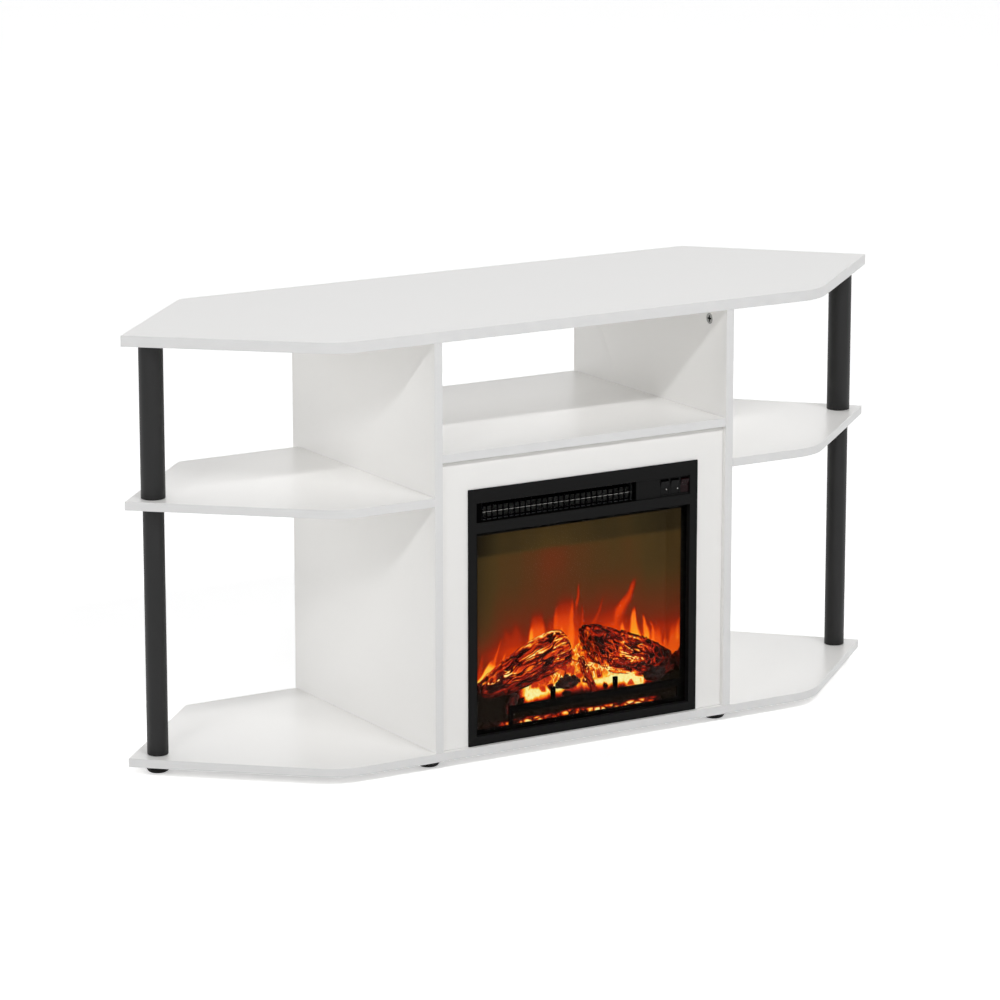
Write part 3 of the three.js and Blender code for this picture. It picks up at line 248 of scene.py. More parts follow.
def add(tree, kind, links=None, stops=None, **settings):
    """Adds a node and gives its outputs: settings are its properties, and links fill its sockets
    by name or number."""
    node = tree.nodes.new(kind)
    for name, value in settings.items():
        setattr(node, name, value)
    for name, value in (links or {}).items():
        if isinstance(value, bpy.types.NodeSocket):
            tree.links.new(value, node.inputs[name])
        else:
            node.inputs[name].default_value = value
    for number, (position, colour) in enumerate(stops or []):
        stop = node.color_ramp.elements
        stop = stop[number] if number < 2 else stop.new(position)
        stop.position = position
        stop.color = linear(colour)
    return node.outputs


def principled(name, **sockets):
    """A material of that name, with constants on the shader's own sockets."""
    material = bpy.data.materials.new(name)
    material.use_nodes = True
    tree = material.node_tree
    shader = tree.nodes["Principled BSDF"]
    for socket, value in sockets.items():
        shader.inputs[socket.replace("_", " ")].default_value = value
    return material, tree, shader


def worn(name, colours, roughness, grain_mm, bump_mm, stretch=(1, 1, 1), patch_mm=60, **sockets):
    """A finish whose tone and gloss wander in patches and whose skin has a fine grain.

    The colours are the two ends of the tone. The grain is a noise of that pitch, stretched
    along the way the surface was worked, and bumps the skin by bump_mm."""
    material, tree, shader = principled(name, **sockets)
    where = add(tree, "ShaderNodeTexCoord")["Object"]
    along = add(tree, "ShaderNodeMapping", {"Vector": where, "Scale": stretch})[0]
    fine, broad = 1 / (grain_mm * MM), 1 / (patch_mm * MM)
    grain = add(tree, "ShaderNodeTexNoise", {"Vector": along, "Scale": fine, "Detail": 3.0})["Fac"]
    patches = add(tree, "ShaderNodeTexNoise", {"Vector": where, "Scale": broad, "Detail": 2.0})["Fac"]
    both = add(tree, "ShaderNodeMix", {"Factor": 0.5, 2: grain, 3: patches})[0]
    tone = add(tree, "ShaderNodeValToRGB", {"Fac": both}, [(0.35, colours[0]), (0.65, colours[1])])[0]
    gloss = add(tree, "ShaderNodeMapRange", {
        "Value": both, "From Min": 0.3, "From Max": 0.7, "To Min": roughness[0], "To Max": roughness[1]
    })[0]
    skin = add(tree, "ShaderNodeBump", {"Height": grain, "Distance": bump_mm * MM, "Strength": 1.0})[0]
    for socket, value in (("Base Color", tone), ("Roughness", gloss), ("Normal", skin)):
        tree.links.new(value, shader.inputs[socket])
    return material


def glowing(name, embers, char, roughness, sheen=0.08, grain_mm=1.6):
    """Translucent resin lit from inside: the heat of each point picks its light, and where it is
    cold the painted char shows. A fine noise breaks the light up between the points."""
    material, tree, shader = principled(
        name, Roughness=roughness, Emission_Strength=1.0, Specular_IOR_Level=sheen
    )
    where = add(tree, "ShaderNodeTexCoord")["Object"]
    heat = add(tree, "ShaderNodeAttribute", attribute_name="glow")["Fac"]
    pitch = 1 / (grain_mm * MM)
    fine = add(tree, "ShaderNodeTexNoise", {"Vector": where, "Scale": pitch, "Detail": 4.0})["Fac"]
    break_up = add(tree, "ShaderNodeMapRange", {
        "Value": fine, "From Min": 0.3, "From Max": 0.7, "To Min": 0.94, "To Max": 1.04
    })[0]
    broken = add(tree, "ShaderNodeMath", {0: heat, 1: break_up}, operation="MULTIPLY")[0]
    light = add(tree, "ShaderNodeValToRGB", {"Fac": broken}, embers)[0]
    soot = add(tree, "ShaderNodeValToRGB", {"Fac": fine}, char)[0]
    skin = add(tree, "ShaderNodeBump", {"Height": fine, "Distance": 0.4 * MM, "Strength": 0.8})[0]
    for socket, value in (("Base Color", soot), ("Emission Color", light), ("Normal", skin)):
        tree.links.new(value, shader.inputs[socket])
    return material


# A grain that is finer than a millimetre in the real surface is drawn as coarse as it needs to
# be to show, and keeps its faint depth.

# Melamine-faced particle board, pressed smooth: a faint pearl grain under an even, half-matt
# white that is a trace warm, which shows where light bounces between the boards.
laminate = worn(
    "melamine_laminate", ("#f2f1ef", "#f3f2f0"), roughness=(0.28, 0.3),
    grain_mm=0.9, bump_mm=0.006, patch_mm=90,
)
# Resin-soaked paper edge band, glued on: a shade greyer than the faces, with fine lines along
# the board.
edge_band = worn(
    "paper_edge_band", ("#e1e1e1", "#e3e3e3"), roughness=(0.4, 0.48),
    grain_mm=1.2, bump_mm=0.02, stretch=(0.15, 0.15, 1),
)
# Steel tube wrapped in black vinyl foil: half-matt, with faint streaks along the tube.
vinyl = worn(
    "vinyl_wrapped_tube", ("#050505", "#090909"), roughness=(0.44, 0.54),
    grain_mm=1.1, bump_mm=0.03, stretch=(1, 1, 0.12), Specular_IOR_Level=0.38,
)
# Black ABS of the feet, control plate, gland and screen, moulded against a spark-eroded tool:
# matt, with a fine grain.
moulded = worn(
    "moulded_black_abs", ("#060606", "#090909"), roughness=(0.5, 0.6),
    grain_mm=0.7, bump_mm=0.02, Specular_IOR_Level=0.1,
)
# Black ABS of the rockers, moulded against a polished tool: glossy and almost without grain.
switch_gloss = worn(
    "polished_black_abs", ("#030303", "#050505"), roughness=(0.2, 0.28),
    grain_mm=3.0, bump_mm=0.004, Specular_IOR_Level=0.1,
)
# Pad-printed ink of the marks on the rockers: a flat, matt light grey.
mark_grey = worn(
    "printed_mark", ("#a8a8a6", "#b4b4b2"), roughness=(0.5, 0.6), grain_mm=0.5, bump_mm=0.002
)
# Smoked red cap of the lit power rocker, moulded and polished: near black while it is off.
switch_red = worn(
    "smoked_red_cap", ("#120305", "#1a0508"), roughness=(0.18, 0.26),
    grain_mm=3.0, bump_mm=0.004, Specular_IOR_Level=0.1,
)
# Sheet steel of the trim and the housing, powder-coated and baked: a dull black orange-peel
# skin about 2 mm across.
powder = worn(
    "powder_coated_steel", ("#070707", "#0a0a0a"), roughness=(0.55, 0.65),
    grain_mm=2.0, bump_mm=0.03, Specular_IOR_Level=0.11,
)
# Stamped steel of the grille, dip-coated in heat-proof black: dead matt.
# The same black is painted shade in lock slots, the blower's mouth and the heater's outer bars
black_coat_and_shade = worn(
    "coated_grille_and_painted_shade", ("#030303", "#050505"), roughness=(0.8, 0.9),
    grain_mm=1.5, bump_mm=0.02, Specular_IOR_Level=0.0,
)
# Zinc of the locks, screws, studs and brackets, die-cast or plated: dull, slightly clouded metal.
zinc = worn(
    "die_cast_zinc", ("#8b8b88", "#a8a8a4"), roughness=(0.34, 0.5),
    grain_mm=1.4, bump_mm=0.02, Metallic=1.0,
)
# Hot-dip galvanised sheet of the blower: clouded by crystals some 8 mm across.
galvanised = worn(
    "galvanised_sheet", ("#8d9092", "#a9acad"), roughness=(0.36, 0.5),
    grain_mm=8.0, bump_mm=0.01, Metallic=1.0,
)
# Rolled aluminium strip of the heater fins: dulled by heat, with faint rolling lines.
aluminium = worn(
    "rolled_aluminium", ("#6e6e6c", "#92928f"), roughness=(0.4, 0.55),
    grain_mm=1.0, bump_mm=0.01, stretch=(1, 1, 0.2), Metallic=1.0,
)
# Polished sheet on the flame chamber's side walls: a mirror that doubles the flames.
polished = worn(
    "polished_liner", ("#ece8e2", "#f2eee8"), roughness=(0.05, 0.09),
    grain_mm=6.0, bump_mm=0.002, Metallic=1.0,
)
# Steel motor cans, spray-painted: an even, half-gloss black.
motor_black = worn(
    "painted_motor", ("#1a1a1b", "#232324"), roughness=(0.35, 0.45), grain_mm=2.2, bump_mm=0.02
)
# Glass-fibre circuit board under cured solder mask: a smooth dark green.
solder_mask = worn(
    "solder_mask", ("#12331f", "#1a4429"), roughness=(0.3, 0.4), grain_mm=1.2, bump_mm=0.01
)
# Aluminium foil of the flicker rotor, crinkled: bright facets some 5 mm across.
foil = worn(
    "crinkled_foil", ("#9d9da0", "#c9c9cc"), roughness=(0.14, 0.26),
    grain_mm=5.0, bump_mm=0.25, Metallic=1.0,
)
# Iron of the grate, brushed with stove black: rough and dead matt, a trace brown.
stove_black = worn(
    "stove_black_iron", ("#020202", "#070504"), roughness=(0.7, 0.9),
    grain_mm=2.4, bump_mm=0.12, Specular_IOR_Level=0.04,
)
# Ceramic ink border, fired onto the back of the glass: an even, flat black.
fired_border = worn(
    "fired_border", ("#040404", "#060606"), roughness=(0.6, 0.7),
    grain_mm=2.0, bump_mm=0.002, Specular_IOR_Level=0.04,
)

# Light that shines through the resin, from cold to hottest, and the paint where it is cold
LOG_LIGHT = [
    (0.0, "#020100"), (0.12, "#1e0503"), (0.26, "#5e0f08"), (0.42, "#a31a0a"), (0.56, "#d9380c"),
    (0.68, "#f56a16"), (0.79, "#ff9c1e"), (0.89, "#ffce38"), (1.0, "#fff6a6"),
]
CHAR = [(0.35, "#090605"), (0.65, "#191009")]
BLACK_CHAR = [(0.4, "#020202"), (0.75, "#0c0b0a")]

# Logs of clear polyester resin, cast and painted brown and black: they glow where the paint is
# thin, and a soft gloss lies on the char.
log_bark = glowing("painted_log_resin", LOG_LIGHT, CHAR, roughness=0.62)
# The same resin, cast with a coarser skin for the ember bed: rougher and duller.
coals = glowing("painted_ember_resin", LOG_LIGHT, CHAR, roughness=0.7, grain_mm=3.0)
# The same resin under thick black paint, for the charred pieces: a dark, half-gloss crust.
charred = glowing("charred_resin", LOG_LIGHT, BLACK_CHAR, roughness=0.3, sheen=0.16)


def smoked_glass():
    """Toughened glass, lightly smoked, with an anti-glare coat: clear to look through, with
    hardly a sheen. The furnace's rollers leave a shallow wave some 110 mm long."""
    tint = linear("#f6f4f1")
    material, tree, shader = principled(
        "smoked_glass", Roughness=0.01, IOR=1.06, Transmission_Weight=1.0, Base_Color=tint
    )
    where = add(tree, "ShaderNodeTexCoord")["Object"]
    wave = add(tree, "ShaderNodeTexNoise", {"Vector": where, "Scale": 9.0, "Detail": 1.0})["Fac"]
    skin = add(tree, "ShaderNodeBump", {"Height": wave, "Distance": 0.4 * MM, "Strength": 0.2})[0]
    tree.links.new(skin, shader.inputs["Normal"])
    return material


def flame_print():
    """Printed polyester film, lit from behind: an olive haze that turns red-brown towards the
    fire, with the flames over it. The haze wanders in upright veils, 25 mm wide and 140 tall."""
    material, tree, shader = principled(
        "backlit_flame_film", Roughness=0.6, Emission_Strength=1.0, Specular_IOR_Level=0.0,
        Base_Color=linear("#040302"),
    )
    where = add(tree, "ShaderNodeTexCoord")["Object"]
    veil = add(tree, "ShaderNodeMapping", {"Vector": where, "Scale": (40, 40, 7)})[0]
    haze = add(tree, "ShaderNodeTexNoise", {"Vector": veil, "Scale": 1.0, "Detail": 3.0})["Fac"]
    warm = add(tree, "ShaderNodeAttribute", attribute_name="warmth")["Fac"]
    mixed = add(tree, "ShaderNodeMath", {0: haze, 1: 0.2, 2: warm}, operation="MULTIPLY_ADD")[0]
    back = add(tree, "ShaderNodeValToRGB", {"Fac": mixed}, [
        (0.1, "#15110b"), (0.3, "#332a16"), (0.5, "#49381b"), (0.7, "#5d3319"), (0.88, "#6e2d16"),
        (1.0, "#7a2712"),
    ])[0]
    heat = add(tree, "ShaderNodeAttribute", attribute_name="glow")["Fac"]
    fire = add(tree, "ShaderNodeValToRGB", {"Fac": heat}, [
        (0.0, "#5a2413"), (0.2, "#8a240f"), (0.36, "#b92e0c"), (0.5, "#e5440c"),
        (0.66, "#ff6c16"), (0.82, "#ffa726"), (1.0, "#ffe25a"),
    ])[0]
    share = add(tree, "ShaderNodeMath", {0: heat, 1: 4.5}, operation="MULTIPLY", use_clamp=True)[0]
    light = add(tree, "ShaderNodeMix", {"Factor": share, 6: back, 7: fire}, data_type="RGBA")[2]
    tree.links.new(light, shader.inputs["Emission Color"])
    return material


glass = smoked_glass()
film = flame_print()


# Boards


def board(node, thin):
    """A board with laminate on its faces and band on its edges; thin is its thin axis."""
    softened(
        node, [laminate, edge_band], round_mm=0.4,
        pick=lambda normal, centre: 0 if abs(normal[thin]) > 0.9 else 1,
    )


for name in ("top_board", "base_board", "centre_shelf", "left_shelf", "right_shelf"):
    board(name, thin=2)
board("front_panel", thin=1)
for side in ("left", "right"):
    board(f"{side}_divider", thin=0)


# Tubes, feet and fittings

TUBE_BORE, TUBE_LIP = 0.0053, 0.0012
for node in ("upper_left_tube", "upper_right_tube", "lower_left_tube", "lower_right_tube"):
    low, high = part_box(node)
    outer, length = (high.x - low.x) / 2, high.z - low.z
    wall = rounded([(TUBE_BORE, 0), (outer, 0), (outer, length), (TUBE_BORE, length)], TUBE_LIP)
    centre = ((low.x + high.x) / 2, 0, low.z)
    turned(f"{node}_wrapped", wall, centre, vinyl, node)


def glide(node, inside):
    """A turned foot: a flat sole, a flare and a short rim in (radius, height), closed by the
    points inside, which start at the top of the rim and end on the axis or in the screw's bore."""
    low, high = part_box(node)
    outer = (high.x - low.x) / 2
    outside = [
        (inside[-1][0], 0), (0.0115, 0), (0.0135, 0.0012), (0.0178, 0.0078), (outer, 0.0092),
        (outer, 0.0112), (0.0179, 0.0119),
    ]
    centre = ((low.x + high.x) / 2, (low.y + high.y) / 2, 0)
    turned(f"{node}_glide", outside + inside, centre, moulded, node, sides=64)


for side in ("left", "right"):
    node = f"{side}_tube_foot"
    glide(node, inside=[(0.005, 0.0119), (0.005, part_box(node)[1].z), (0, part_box(node)[1].z)])

for end, side in itertools.product(("front", "back"), ("left", "right")):
    glide(f"{end}_{side}_foot", inside=[(0.0023, 0.0119), (0.0023, 0.006), (0.0045, 0.006)])
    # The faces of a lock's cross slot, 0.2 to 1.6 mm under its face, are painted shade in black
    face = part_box(f"{end}_{side}_cam_lock")[0 if side == "right" else 1].x
    softened(
        f"{end}_{side}_cam_lock", [zinc, black_coat_and_shade], round_mm=0.25,
        pick=lambda normal, centre: int(0.0002 < abs(centre.x - face) < 0.0016),
    )


# Insert: trim, glass, grille and controls

softened("trim_frame", [powder], round_mm=0.4)
softened("outlet_grille", [black_coat_and_shade], round_mm=0.2)
softened("control_plate", [moulded], round_mm=0.3)
softened("back_cover", [powder], round_mm=0)
# The inner faces of the housing's side walls are the liner, up to the deck over the chamber
liner_x, deck_z = CHAMBER_HALF * MM + 1e-4, 0.3
softened(
    "insert_housing", [powder, polished], round_mm=0,
    pick=lambda normal, centre: int(
        abs(normal.x) > 0.9 and abs(centre.x) < liner_x and centre.z < deck_z
    ),
)
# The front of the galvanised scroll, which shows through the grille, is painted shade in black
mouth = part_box("blower_housing")[0].y + 0.001
softened(
    "blower_housing", [galvanised, black_coat_and_shade], round_mm=0,
    pick=lambda normal, centre: int(centre.y < mouth),
)
for side in ("left", "right"):
    softened(f"{side}_bracket", [zinc], round_mm=0.3)
softened("cord_gland", [moulded], round_mm=0.3)
softened("grate", [stove_black], round_mm=0.8)
for name, cap in (("heater", switch_gloss), ("flame", switch_gloss), ("power", switch_red)):
    softened(f"{name}_rocker", [cap], round_mm=0.35, body=f"{name}_switch")


def printed_dot(switch, x, z):
    """A pad-printed dot on a rocker: a closed disc in the plane of the rocker's face, which one
    ray along Y finds. Its rim is a circle in X and Z, and y follows from the plane at each point:
    a hair proud of the face in front, and sunk in it behind."""
    radius, count, proud, sunk = 0.0009, 24, 0.00006, 0.0002
    rocker = nodes[f"{switch}_rocker"].data
    skin = BVHTree.FromPolygons([v.co for v in rocker.vertices], [f.vertices for f in rocker.polygons])
    spot, normal = skin.ray_cast(Vector((x, -0.25, z)), Vector((0, 1, 0)))[:2]
    turn = np.linspace(0, 2 * np.pi, count, endpoint=False)
    across, up = radius * np.cos(turn), radius * np.sin(turn)
    face = spot.y - (normal.x * across + normal.z * up) / normal.y
    rings = [np.stack([x + across, face + lift, z + up], axis=1) for lift in (-proud, sunk)]
    ring = np.arange(count)
    after = (ring + 1) % count
    sides = np.stack([ring, after, after + count, ring + count], axis=1)
    caps = [ring[::-1].tolist(), (ring + count).tolist()]
    name = f"{switch}_switch_dot"
    mesh = closed_mesh(name, np.concatenate(rings), sides, caps, merge=False, smooth=False)
    place(name, mesh, [mark_grey], f"{switch}_switch")


printed_dot("heater", 0.134, 0.343)
printed_dot("flame", 0.1524, 0.3424)


def glass_border():
    """A thin ring behind the glass: an outer and an inner rectangle, each given by its half
    width, low edge and high edge, joined by flat walls."""
    outer, inner = (173.8, 10.5, 296.5), (163.5, 19.0, 288.0)
    front, back = 11.3, 11.45
    rings = []
    for (half, low, high), depth in ((outer, front), (inner, front), (inner, back), (outer, back)):
        x = np.array([-half, half, half, -half])
        z = np.array([low, low, high, high])
        rings.append(in_insert(x, depth, z))
    faces = grid_faces(4, 4, wrap_rows=True, wrap_columns=True)
    mesh = closed_mesh("glass_border", np.concatenate(rings), faces)
    place("glass_border", mesh, [fired_border])


glass_border()


def corrugated_fins():
    """Heater fins: a strip folded in a triangle wave between flat bars, in two banks.

    Along X the strip's height is a triangle wave, and its wall is a constant offset. The middle
    bar is bright zinc; the outer bars are painted black, as painted shade inside the opening."""
    low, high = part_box("heater_element")
    pitch, wall, inset = 0.0026, 0.00035, 0.0005
    bars = (
        (low.z, low.z + 0.0016), (low.z + 0.0088, low.z + 0.0108), (low.z + 0.0172, low.z + 0.0188),
    )
    folds = int((high.x - low.x) / pitch) * 2
    x = np.linspace(low.x + 0.001, high.x - 0.001, folds + 1)
    front, back = low.y + inset, high.y - inset
    parts, faces, count = [], [], 0
    for bottom, top in ((bars[0][1], bars[1][0]), (bars[1][1], bars[2][0])):
        z = np.where(np.arange(folds + 1) % 2, top - wall, bottom)
        ring = [(front, 0), (back, 0), (back, wall), (front, wall)]
        grid = np.stack([
            np.stack([x, np.full_like(x, depth), z + lift], axis=1) for depth, lift in ring
        ], axis=1)
        parts.append(grid.reshape(-1, 3))
        faces.append(grid_faces(folds + 1, 4, wrap_columns=True) + count)
        ends = np.array([[0, 1, 2, 3], [folds * 4 + 3, folds * 4 + 2, folds * 4 + 1, folds * 4]])
        faces.append(ends + count)
        count += (folds + 1) * 4
    for bottom, top in bars:
        corners = itertools.product((low.x, high.x), (low.y, high.y), (bottom, top))
        parts.append(np.array(list(corners)))
        box = [[0, 1, 3, 2], [4, 6, 7, 5], [0, 4, 5, 1], [2, 3, 7, 6], [0, 2, 6, 4], [1, 5, 7, 3]]
        faces.append(np.array(box) + count)
        count += 8
    mesh = closed_mesh("heater_fins", np.concatenate(parts), np.concatenate(faces))
    # Only the bars have faces over a square centimetre; the outer bars take painted shade
    for face in mesh.polygons:
        in_middle = abs(face.center.z - (low.z + high.z) / 2) < 0.002
        face.material_index = int(face.area > 1e-4) * (1 if in_middle else 2)
    place(
        "heater_fins", mesh, [aluminium, zinc, black_coat_and_shade], replaced=["heater_element"],
        sharp_degrees=20,
    )


corrugated_fins()

# Nodes whose shape is right as it is
SCREWS_AND_BOLTS = tuple(
    f"{end}_{side}_{part}" for end in ("front", "back") for side in ("left", "right")
    for part in ("foot_screw", "cam_bolt")
)
STUDS = ("left_shelf_stud", "right_shelf_stud", "left_top_stud", "right_top_stud")
KEPT_NODES = (
    (glass, ("glass_panel",)),
    (zinc, STUDS + ("rotor_bearing",) + SCREWS_AND_BOLTS),
    (galvanised, ("blower_wheel",)),
    (motor_black, ("blower_motor", "rotor_motor")),
    (foil, ("flame_rotor",)),
    (solder_mask, ("light_board",)),
    (moulded, ("flame_screen",)),
)
for material, names in KEPT_NODES:
    for name in names:
        nodes[name].material_slots[0].material = material


# Flame film

# Tongues of flame on the film: foot and tip (across, up), half width, sideways bow, heat at the
# foot and at the tip, how crisp the edge is, and how blunt the tip is (0 is a point).
TONGUES = (
    (-128, 82, -104, 124, 14, 3, 1, 0.84, 2.6, 0.3), (-106, 100, -93, 152, 3.4, -2, 0.64, 0.44, 1.4, 0),
    (-98, 104, -87, 130, 4, 1, 0.76, 0.56, 1.6, 0), (-37, 116, -38, 190, 17, 1, 0.72, 0.4, 2.0, 0.8),
    (-46, 122, -47, 162, 8, 1, 0.98, 0.66, 1.3, 0.2), (5, 116, 6, 208, 17, 1, 0.64, 0.34, 2.0, 0.85),
    (-5, 118, -6, 190, 7, -1, 0.7, 0.42, 1.2, 0.3), (17, 118, 19, 200, 7, 1, 0.74, 0.42, 1.3, 0.3),
    (3, 124, 4, 156, 7, 0, 0.94, 0.62, 1.4, 0), (38, 90, 34, 156, 15, 3, 1.0, 0.56, 2.0, 0.15),
    (28, 184, 31, 214, 4, 1, 0.44, 0.34, 1.0, 0), (38, 136, 68, 174, 3.6, 2, 0.5, 0.34, 1.0, 0),
    (35, 146, 36, 182, 3.4, 1, 0.46, 0.32, 1.0, 0), (50, 128, 76, 194, 5, -3, 0.44, 0.28, 0.9, 0),
    (86, 126, 110, 190, 6, -4, 0.52, 0.4, 1.0, 0.2), (100, 164, 127, 212, 11, 2, 0.5, 0.38, 1.1, 0.4),
    (133, 100, 121, 170, 13, -6, 0.96, 0.62, 1.9, 0), (112, 110, 103, 150, 8, -4, 0.92, 0.6, 1.7, 0.1),
    (140, 108, 136, 156, 8, 3, 0.86, 0.56, 1.6, 0), (152, 112, 149, 144, 5, 2, 0.7, 0.46, 1.4, 0),
    (164, 84, 156, 138, 15, -3, 0.62, 0.5, 2.4, 0.55), (178, 84, 182, 146, 14, 3, 0.6, 0.48, 2.4, 0.6),
    (-86, 104, -72, 178, 18, 7, 0.46, 0.24, 0.8, 0.3), (-60, 112, -90, 170, 14, -7, 0.44, 0.24, 0.8, 0.3),
    (-134, 84, -124, 136, 10, 2, 0.46, 0.26, 1.0, 0), (72, 96, 84, 158, 22, 4, 0.5, 0.26, 0.8, 0.4),
    (24, 108, 24, 190, 24, 0, 0.46, 0.28, 0.8, 0.5), (-14, 108, -14, 178, 16, 0, 0.46, 0.3, 0.8, 0.5),
)


def flame_heat(x, z):
    """Heat of the film. A tongue runs from its foot to its tip on a bowed line; its half width
    falls to nothing at the tip, late on a blunt one, and its heat falls from foot to tip and
    from the line to the edge. Behind the tongues lies a glow that fades upwards and to the sides."""
    sway, fuller, glow, glow_height = 7, 1.14, 0.47, 28
    points = np.stack([x / 15, np.zeros_like(x), z / 24], axis=1)
    bent = x + sway * (rough_noise(points, 11) - 0.5)
    crest = 132 + 10 * np.sin(x / 33) + 6 * np.sin(x / 13 + 1)
    sides = ease(-168, -60, x) * (0.6 + 0.4 * ease(178, 120, x))
    heat = glow * sides * np.exp(-np.clip(z - crest, 0, None) / glow_height)
    for foot_x, foot_z, tip_x, tip_z, width, bow, hot, cool, crisp, blunt in TONGUES:
        run = np.array([tip_x - foot_x, tip_z - foot_z], float)
        length = np.linalg.norm(run)
        run /= length
        share = ((bent - foot_x) * run[0] + (z - foot_z) * run[1]) / length
        inside = np.clip(share, 0, 1)
        off = (bent - foot_x) * run[1] - (z - foot_z) * run[0] - bow * np.sin(np.pi * inside)
        half = fuller * width * np.clip(1 - inside, 1e-4, 1) ** (0.7 - 0.6 * blunt)
        fade = ease(1.0, 0.8 - 0.45 * blunt, share) * ease(-0.5, 0, share)
        body = ease(0, 1 / crisp, 1 - np.abs(off) / half) * fade
        heat = np.maximum(heat, heat * (1 - body) + body * (hot + (cool - hot) * inside))
    return np.clip(heat, 0, 1)


def flame_film():
    """The film is a flat closed sheet whose front is a fine grid that carries the heat of the
    flames and the warmth of the haze. The warmth is highest in a patch above the middle and near
    the fire, and lowest at the left side and in a band of painted shade along the top, where the
    backlight ends."""
    columns, rows, thick, gap = 290, 250, 0.3, 0.25
    half, low, high = 173.9, 24.0, 300.5
    x, z = (part.ravel() for part in np.meshgrid(
        np.linspace(-half, half, columns), np.linspace(low, high, rows)
    ))
    back_x = np.array([-half, half, half, -half])
    back_z = np.array([low, low, high, high])
    front = in_insert(x, SCREEN_DEPTH - gap - thick, z)
    back = in_insert(back_x, SCREEN_DEPTH - gap, back_z)
    up = z + INSERT_ORIGIN[2] / MM
    patch = np.exp(-(((x + 12) / 40) ** 2) - ((up - 246) / 46) ** 2)
    side_dark = 0.42 * ease(90, 172, -x) + 0.1 * ease(100, 172, x)
    # The band along the top is painted shade, where the backlight ends under the trim
    top_dark = 0.2 * ease(264, 271, up)
    near_fire = 0.26 * ease(236, 150, up) * ease(-150, -60, x)
    warmth = 0.44 + 0.26 * patch - side_dark - top_dark + near_fire
    first = len(front)
    edges = (
        np.arange(columns),
        np.arange(rows) * columns + columns - 1,
        np.arange(rows * columns - 1, (rows - 1) * columns - 1, -1),
        np.arange((rows - 1) * columns, -1, -columns),
    )
    caps = [
        edge.tolist() + [first + (side + 1) % 4, first + side] for side, edge in enumerate(edges)
    ]
    caps.append([first, first + 1, first + 2, first + 3])
    mesh = closed_mesh(
        "flame_film", np.concatenate([front, back]), grid_faces(rows, columns), caps,
        merge=False, smooth=False,
        glow=np.append(flame_heat(x, up), np.zeros(4)), warmth=np.append(warmth, np.zeros(4)),
    )
    place("flame_film", mesh, [film])


flame_film()


# Logs, embers and charred pieces

# Ends (across, up), depth, half height, half depth, and stations of the run as in the solids:
# shares of the run, the rise, the half height and the half depth.
LEFT_LOG = {
    "ends": ((-150, 66), (-7, 108)), "depth": 39, "tall": 27, "deep": 21,
    "stations": ((0, -0.04, 0.24, 0.45), (0.05, -0.05, 0.36, 0.6), (0.14, -0.02, 0.52, 0.75),
                 (0.34, 0.24, 0.78, 0.92), (0.56, 0.54, 0.95, 1), (0.8, 0.82, 1, 1),
                 (0.94, 0.95, 0.96, 0.96), (1, 1, 0.8, 0.85)),
}
RIGHT_LOG = {
    "ends": ((34, 103), (166, 60)), "depth": 39, "tall": 29, "deep": 21,
    "stations": ((0, 0, 0.9, 0.88), (0.08, 0.06, 0.96, 0.94), (0.3, 0.33, 1, 1),
                 (0.6, 0.6, 0.93, 0.94), (0.83, 0.84, 0.74, 0.82), (1, 1, 0.45, 0.57)),
    "cut": (-0.25, -0.62), "dome": 0.0,
}
TWIG = {
    "ends": ((12, 92), (31, 42)), "depth": 26, "tall": 6, "deep": 6,
    "stations": ((0, 0, 0.8, 0.9), (0.3, 0.33, 0.9, 0.9), (0.7, 0.7, 1, 0.9), (1, 1, 1, 1)),
}
LUMP = {
    "ends": ((-30, 57), (8, 61)), "depth": 28, "tall": 10, "deep": 8,
    "stations": ((0, 0, 0.45, 0.65), (0.25, 0.6, 0.85, 0.95), (0.5, 1, 1, 1), (0.8, 0.95, 0.8, 0.9),
                 (1, 0.8, 0.45, 0.6)),
}
LEFT_CHAR = {
    "ends": ((-107, 30), (-99, 58)), "depth": 20, "tall": 8, "deep": 6,
    "stations": ((0, 0, 0.7, 0.8), (0.4, 0.4, 1, 1), (1, 1, 0.5, 0.6)),
}
RIGHT_CHAR = {
    "ends": ((116, 50), (146, 56)), "depth": 26, "tall": 12, "deep": 8,
    "stations": ((0, 0, 0.5, 0.6), (0.5, 0.8, 1, 1), (1, 1, 0.6, 0.7)),
}


def log_run(log, share):
    """Middle, half height and half depth of a log at shares of its run, eased over its stations.

    The stations are joined by straight lines and smoothed by a bell 10 percent of the run wide."""
    along, rise, tall, deep = np.array(log["stations"], float).T
    fine = np.linspace(0, 1, 401)
    bell = np.hanning(41)
    bell /= bell.sum()

    def eased(value):
        lines = np.pad(np.interp(fine, along, value), 20, mode="reflect", reflect_type="odd")
        return np.interp(share, fine, np.convolve(lines, bell, "valid"))

    (left, low), (right, high) = log["ends"]
    x, z = left + (right - left) * share, low + (high - low) * eased(rise)
    return x, z, log["tall"] * eased(tall), log["deep"] * eased(deep)


# Sizes in the bark, in millimetres along the log, in depth and in height
PLATE, SCALE, FIBRE = [64, 8, 8], [12, 8, 8], [22, 1.7, 1.7]
MOOD, SPARK = [24, 9, 9], [8, 4, 4]


